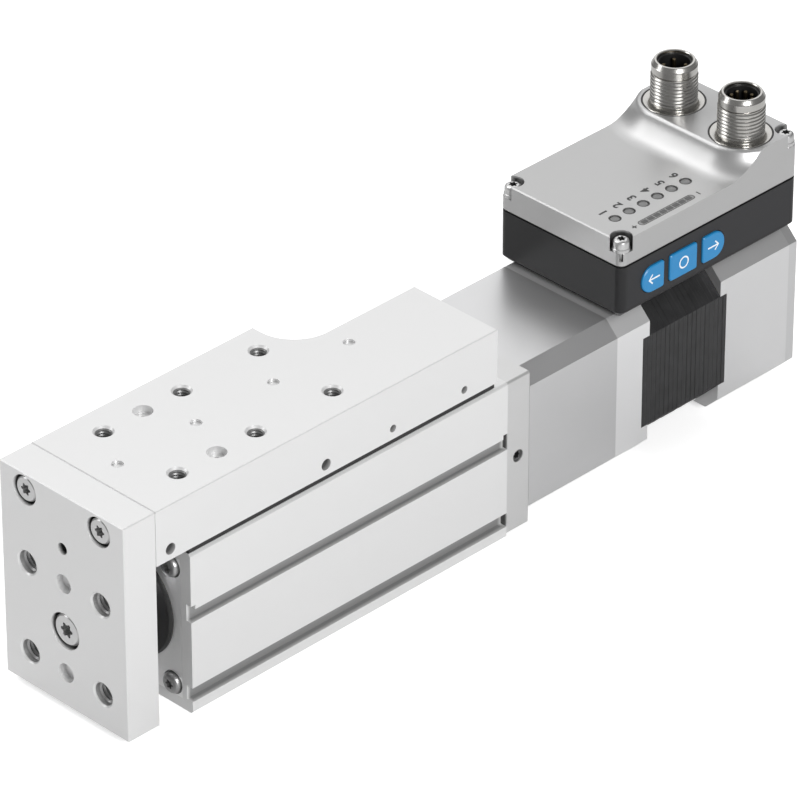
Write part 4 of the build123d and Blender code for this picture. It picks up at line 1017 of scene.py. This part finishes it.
class ACTUATOR_OT_studio(bpy.types.Operator):
    """Sets the floor, the lights, the world and the camera"""

    bl_idname = "actuator.studio"
    bl_label = "Studio"

    def panel_light(self, name, place, size, energy, along=(0.0, 0.0, 1.0)):
        """A soft rectangular lamp that faces the actuator, with its height along a direction."""
        target = Vector((0.0, 0.04, 0.03))
        lamp = bpy.data.lights.new(name, "AREA")
        lamp.shape = "RECTANGLE"
        lamp.size, lamp.size_y = size
        lamp.energy = energy
        item = bpy.data.objects.new(name, lamp)
        bpy.context.scene.collection.objects.link(item)
        item.location = place
        back = (Vector(place) - target).normalized()
        height = Vector(along) - Vector(along).project(back)
        height.normalize()
        item.rotation_euler = Matrix((height.cross(back), height, back)).transposed().to_euler()

    def backdrop(self):
        """Pale floor that shows white to the camera and keeps the actuator's shadow."""
        material = bpy.data.materials.new("pale_floor")
        material.use_nodes = True
        tree = material.node_tree
        glow = 0.55
        shader = tree.nodes["Principled BSDF"]
        shader.inputs["Base Color"].default_value = (0.82, 0.82, 0.82, 1.0)
        shader.inputs["Roughness"].default_value = 0.9
        shader.inputs["Emission Color"].default_value = (1.0, 1.0, 1.0, 1.0)
        rays = tree.nodes.new("ShaderNodeLightPath")
        lift = tree.nodes.new("ShaderNodeMath")
        lift.operation = "MULTIPLY"
        lift.inputs[1].default_value = glow
        tree.links.new(rays.outputs["Is Camera Ray"], lift.inputs[0])
        tree.links.new(lift.outputs["Value"], shader.inputs["Emission Strength"])
        clear_hands()
        bpy.ops.mesh.primitive_plane_add(size=6.0, location=(0.0, 0.0, -0.02 * MM))
        floor = bpy.context.object
        floor.name = "floor"
        floor.data.materials.append(material)

    def surround(self, strength):
        """World that is white to the camera and a soft even light to the rest."""
        world = bpy.data.worlds.new("studio")
        bpy.context.scene.world = world
        world.use_nodes = True
        tree = world.node_tree
        tree.nodes.clear()
        rays = tree.nodes.new("ShaderNodeLightPath")
        blend = tree.nodes.new("ShaderNodeMixShader")
        out = tree.nodes.new("ShaderNodeOutputWorld")
        tree.links.new(rays.outputs["Is Camera Ray"], blend.inputs[0])
        for slot, value in ((1, strength), (2, 1.0)):
            light = tree.nodes.new("ShaderNodeBackground")
            light.inputs["Color"].default_value = (1.0, 1.0, 1.0, 1.0)
            light.inputs["Strength"].default_value = value
            tree.links.new(light.outputs["Background"], blend.inputs[slot])
        tree.links.new(blend.outputs["Shader"], out.inputs["Surface"])

    def execute(self, context):
        studio = context.scene.actuator_studio
        self.backdrop()
        self.surround(studio.world)
        self.panel_light("top_panel", (-0.75, 0.75, 1.2), (1.6, 1.6), studio.top_light)
        self.panel_light("side_panel", (1.33, -0.36, 0.80), (0.6, 0.6), studio.side_light)
        self.panel_light(
            "ramp_panel", (-0.70, -0.28, 0.86), (0.36, 1.3), studio.ramp_light, along=(0.0, 0.81, 0.67),
        )
        lens = bpy.data.cameras.new("camera")
        lens.sensor_width = 36.0
        lens.lens = studio.lens
        lens.clip_end = 20.0
        camera = bpy.data.objects.new("camera", lens)
        context.scene.collection.objects.link(camera)
        camera.location = (0.95149, -0.91500, 0.89452)
        camera.rotation_euler = (math.radians(90) - studio.elevation, 0.0, studio.azimuth)
        context.scene.camera = camera
        context.scene.view_settings.view_transform = "Standard"
        return {"FINISHED"}


OPERATORS = (
    ACTUATOR_OT_finishes, ACTUATOR_OT_sockets, ACTUATOR_OT_hole_threads, ACTUATOR_OT_gap_shade_strips,
    ACTUATOR_OT_motor_sheets, ACTUATOR_OT_button_signs, ACTUATOR_OT_cover_screws, ACTUATOR_OT_status_lights,
    ACTUATOR_OT_level_bar, ACTUATOR_OT_cover_signs, ACTUATOR_OT_studio,
)
SETTINGS = (
    (ActuatorFinishes, "actuator_finishes"),
    (ActuatorDetails, "actuator_details"),
    (ActuatorStudio, "actuator_studio"),
)


class ACTUATOR_PT_dressing(bpy.types.Panel):
    """Lists the steps that dress the actuator"""

    bl_idname = "ACTUATOR_PT_dressing"
    bl_label = "Slide Actuator"
    bl_space_type = "VIEW_3D"
    bl_region_type = "UI"
    bl_category = "Actuator"

    def draw(self, context):
        for operator in OPERATORS:
            self.layout.operator(operator.bl_idname)
        for group, name in SETTINGS:
            box = self.layout.box()
            box.label(text=group.__doc__)
            for label in group.__annotations__:
                box.prop(getattr(context.scene, name), label)


def register():
    for group, name in SETTINGS:
        bpy.utils.register_class(group)
        setattr(bpy.types.Scene, name, PointerProperty(type=group))
    for operator in OPERATORS:
        bpy.utils.register_class(operator)
    bpy.utils.register_class(ACTUATOR_PT_dressing)


def unregister():
    bpy.utils.unregister_class(ACTUATOR_PT_dressing)
    for operator in reversed(OPERATORS):
        bpy.utils.unregister_class(operator)
    for group, name in reversed(SETTINGS):
        delattr(bpy.types.Scene, name)
        bpy.utils.unregister_class(group)


def main():
    register()
    for operator in OPERATORS:
        group, step = operator.bl_idname.split(".")
        getattr(getattr(bpy.ops, group), step)()


if __name__ == "__main__":
    main()
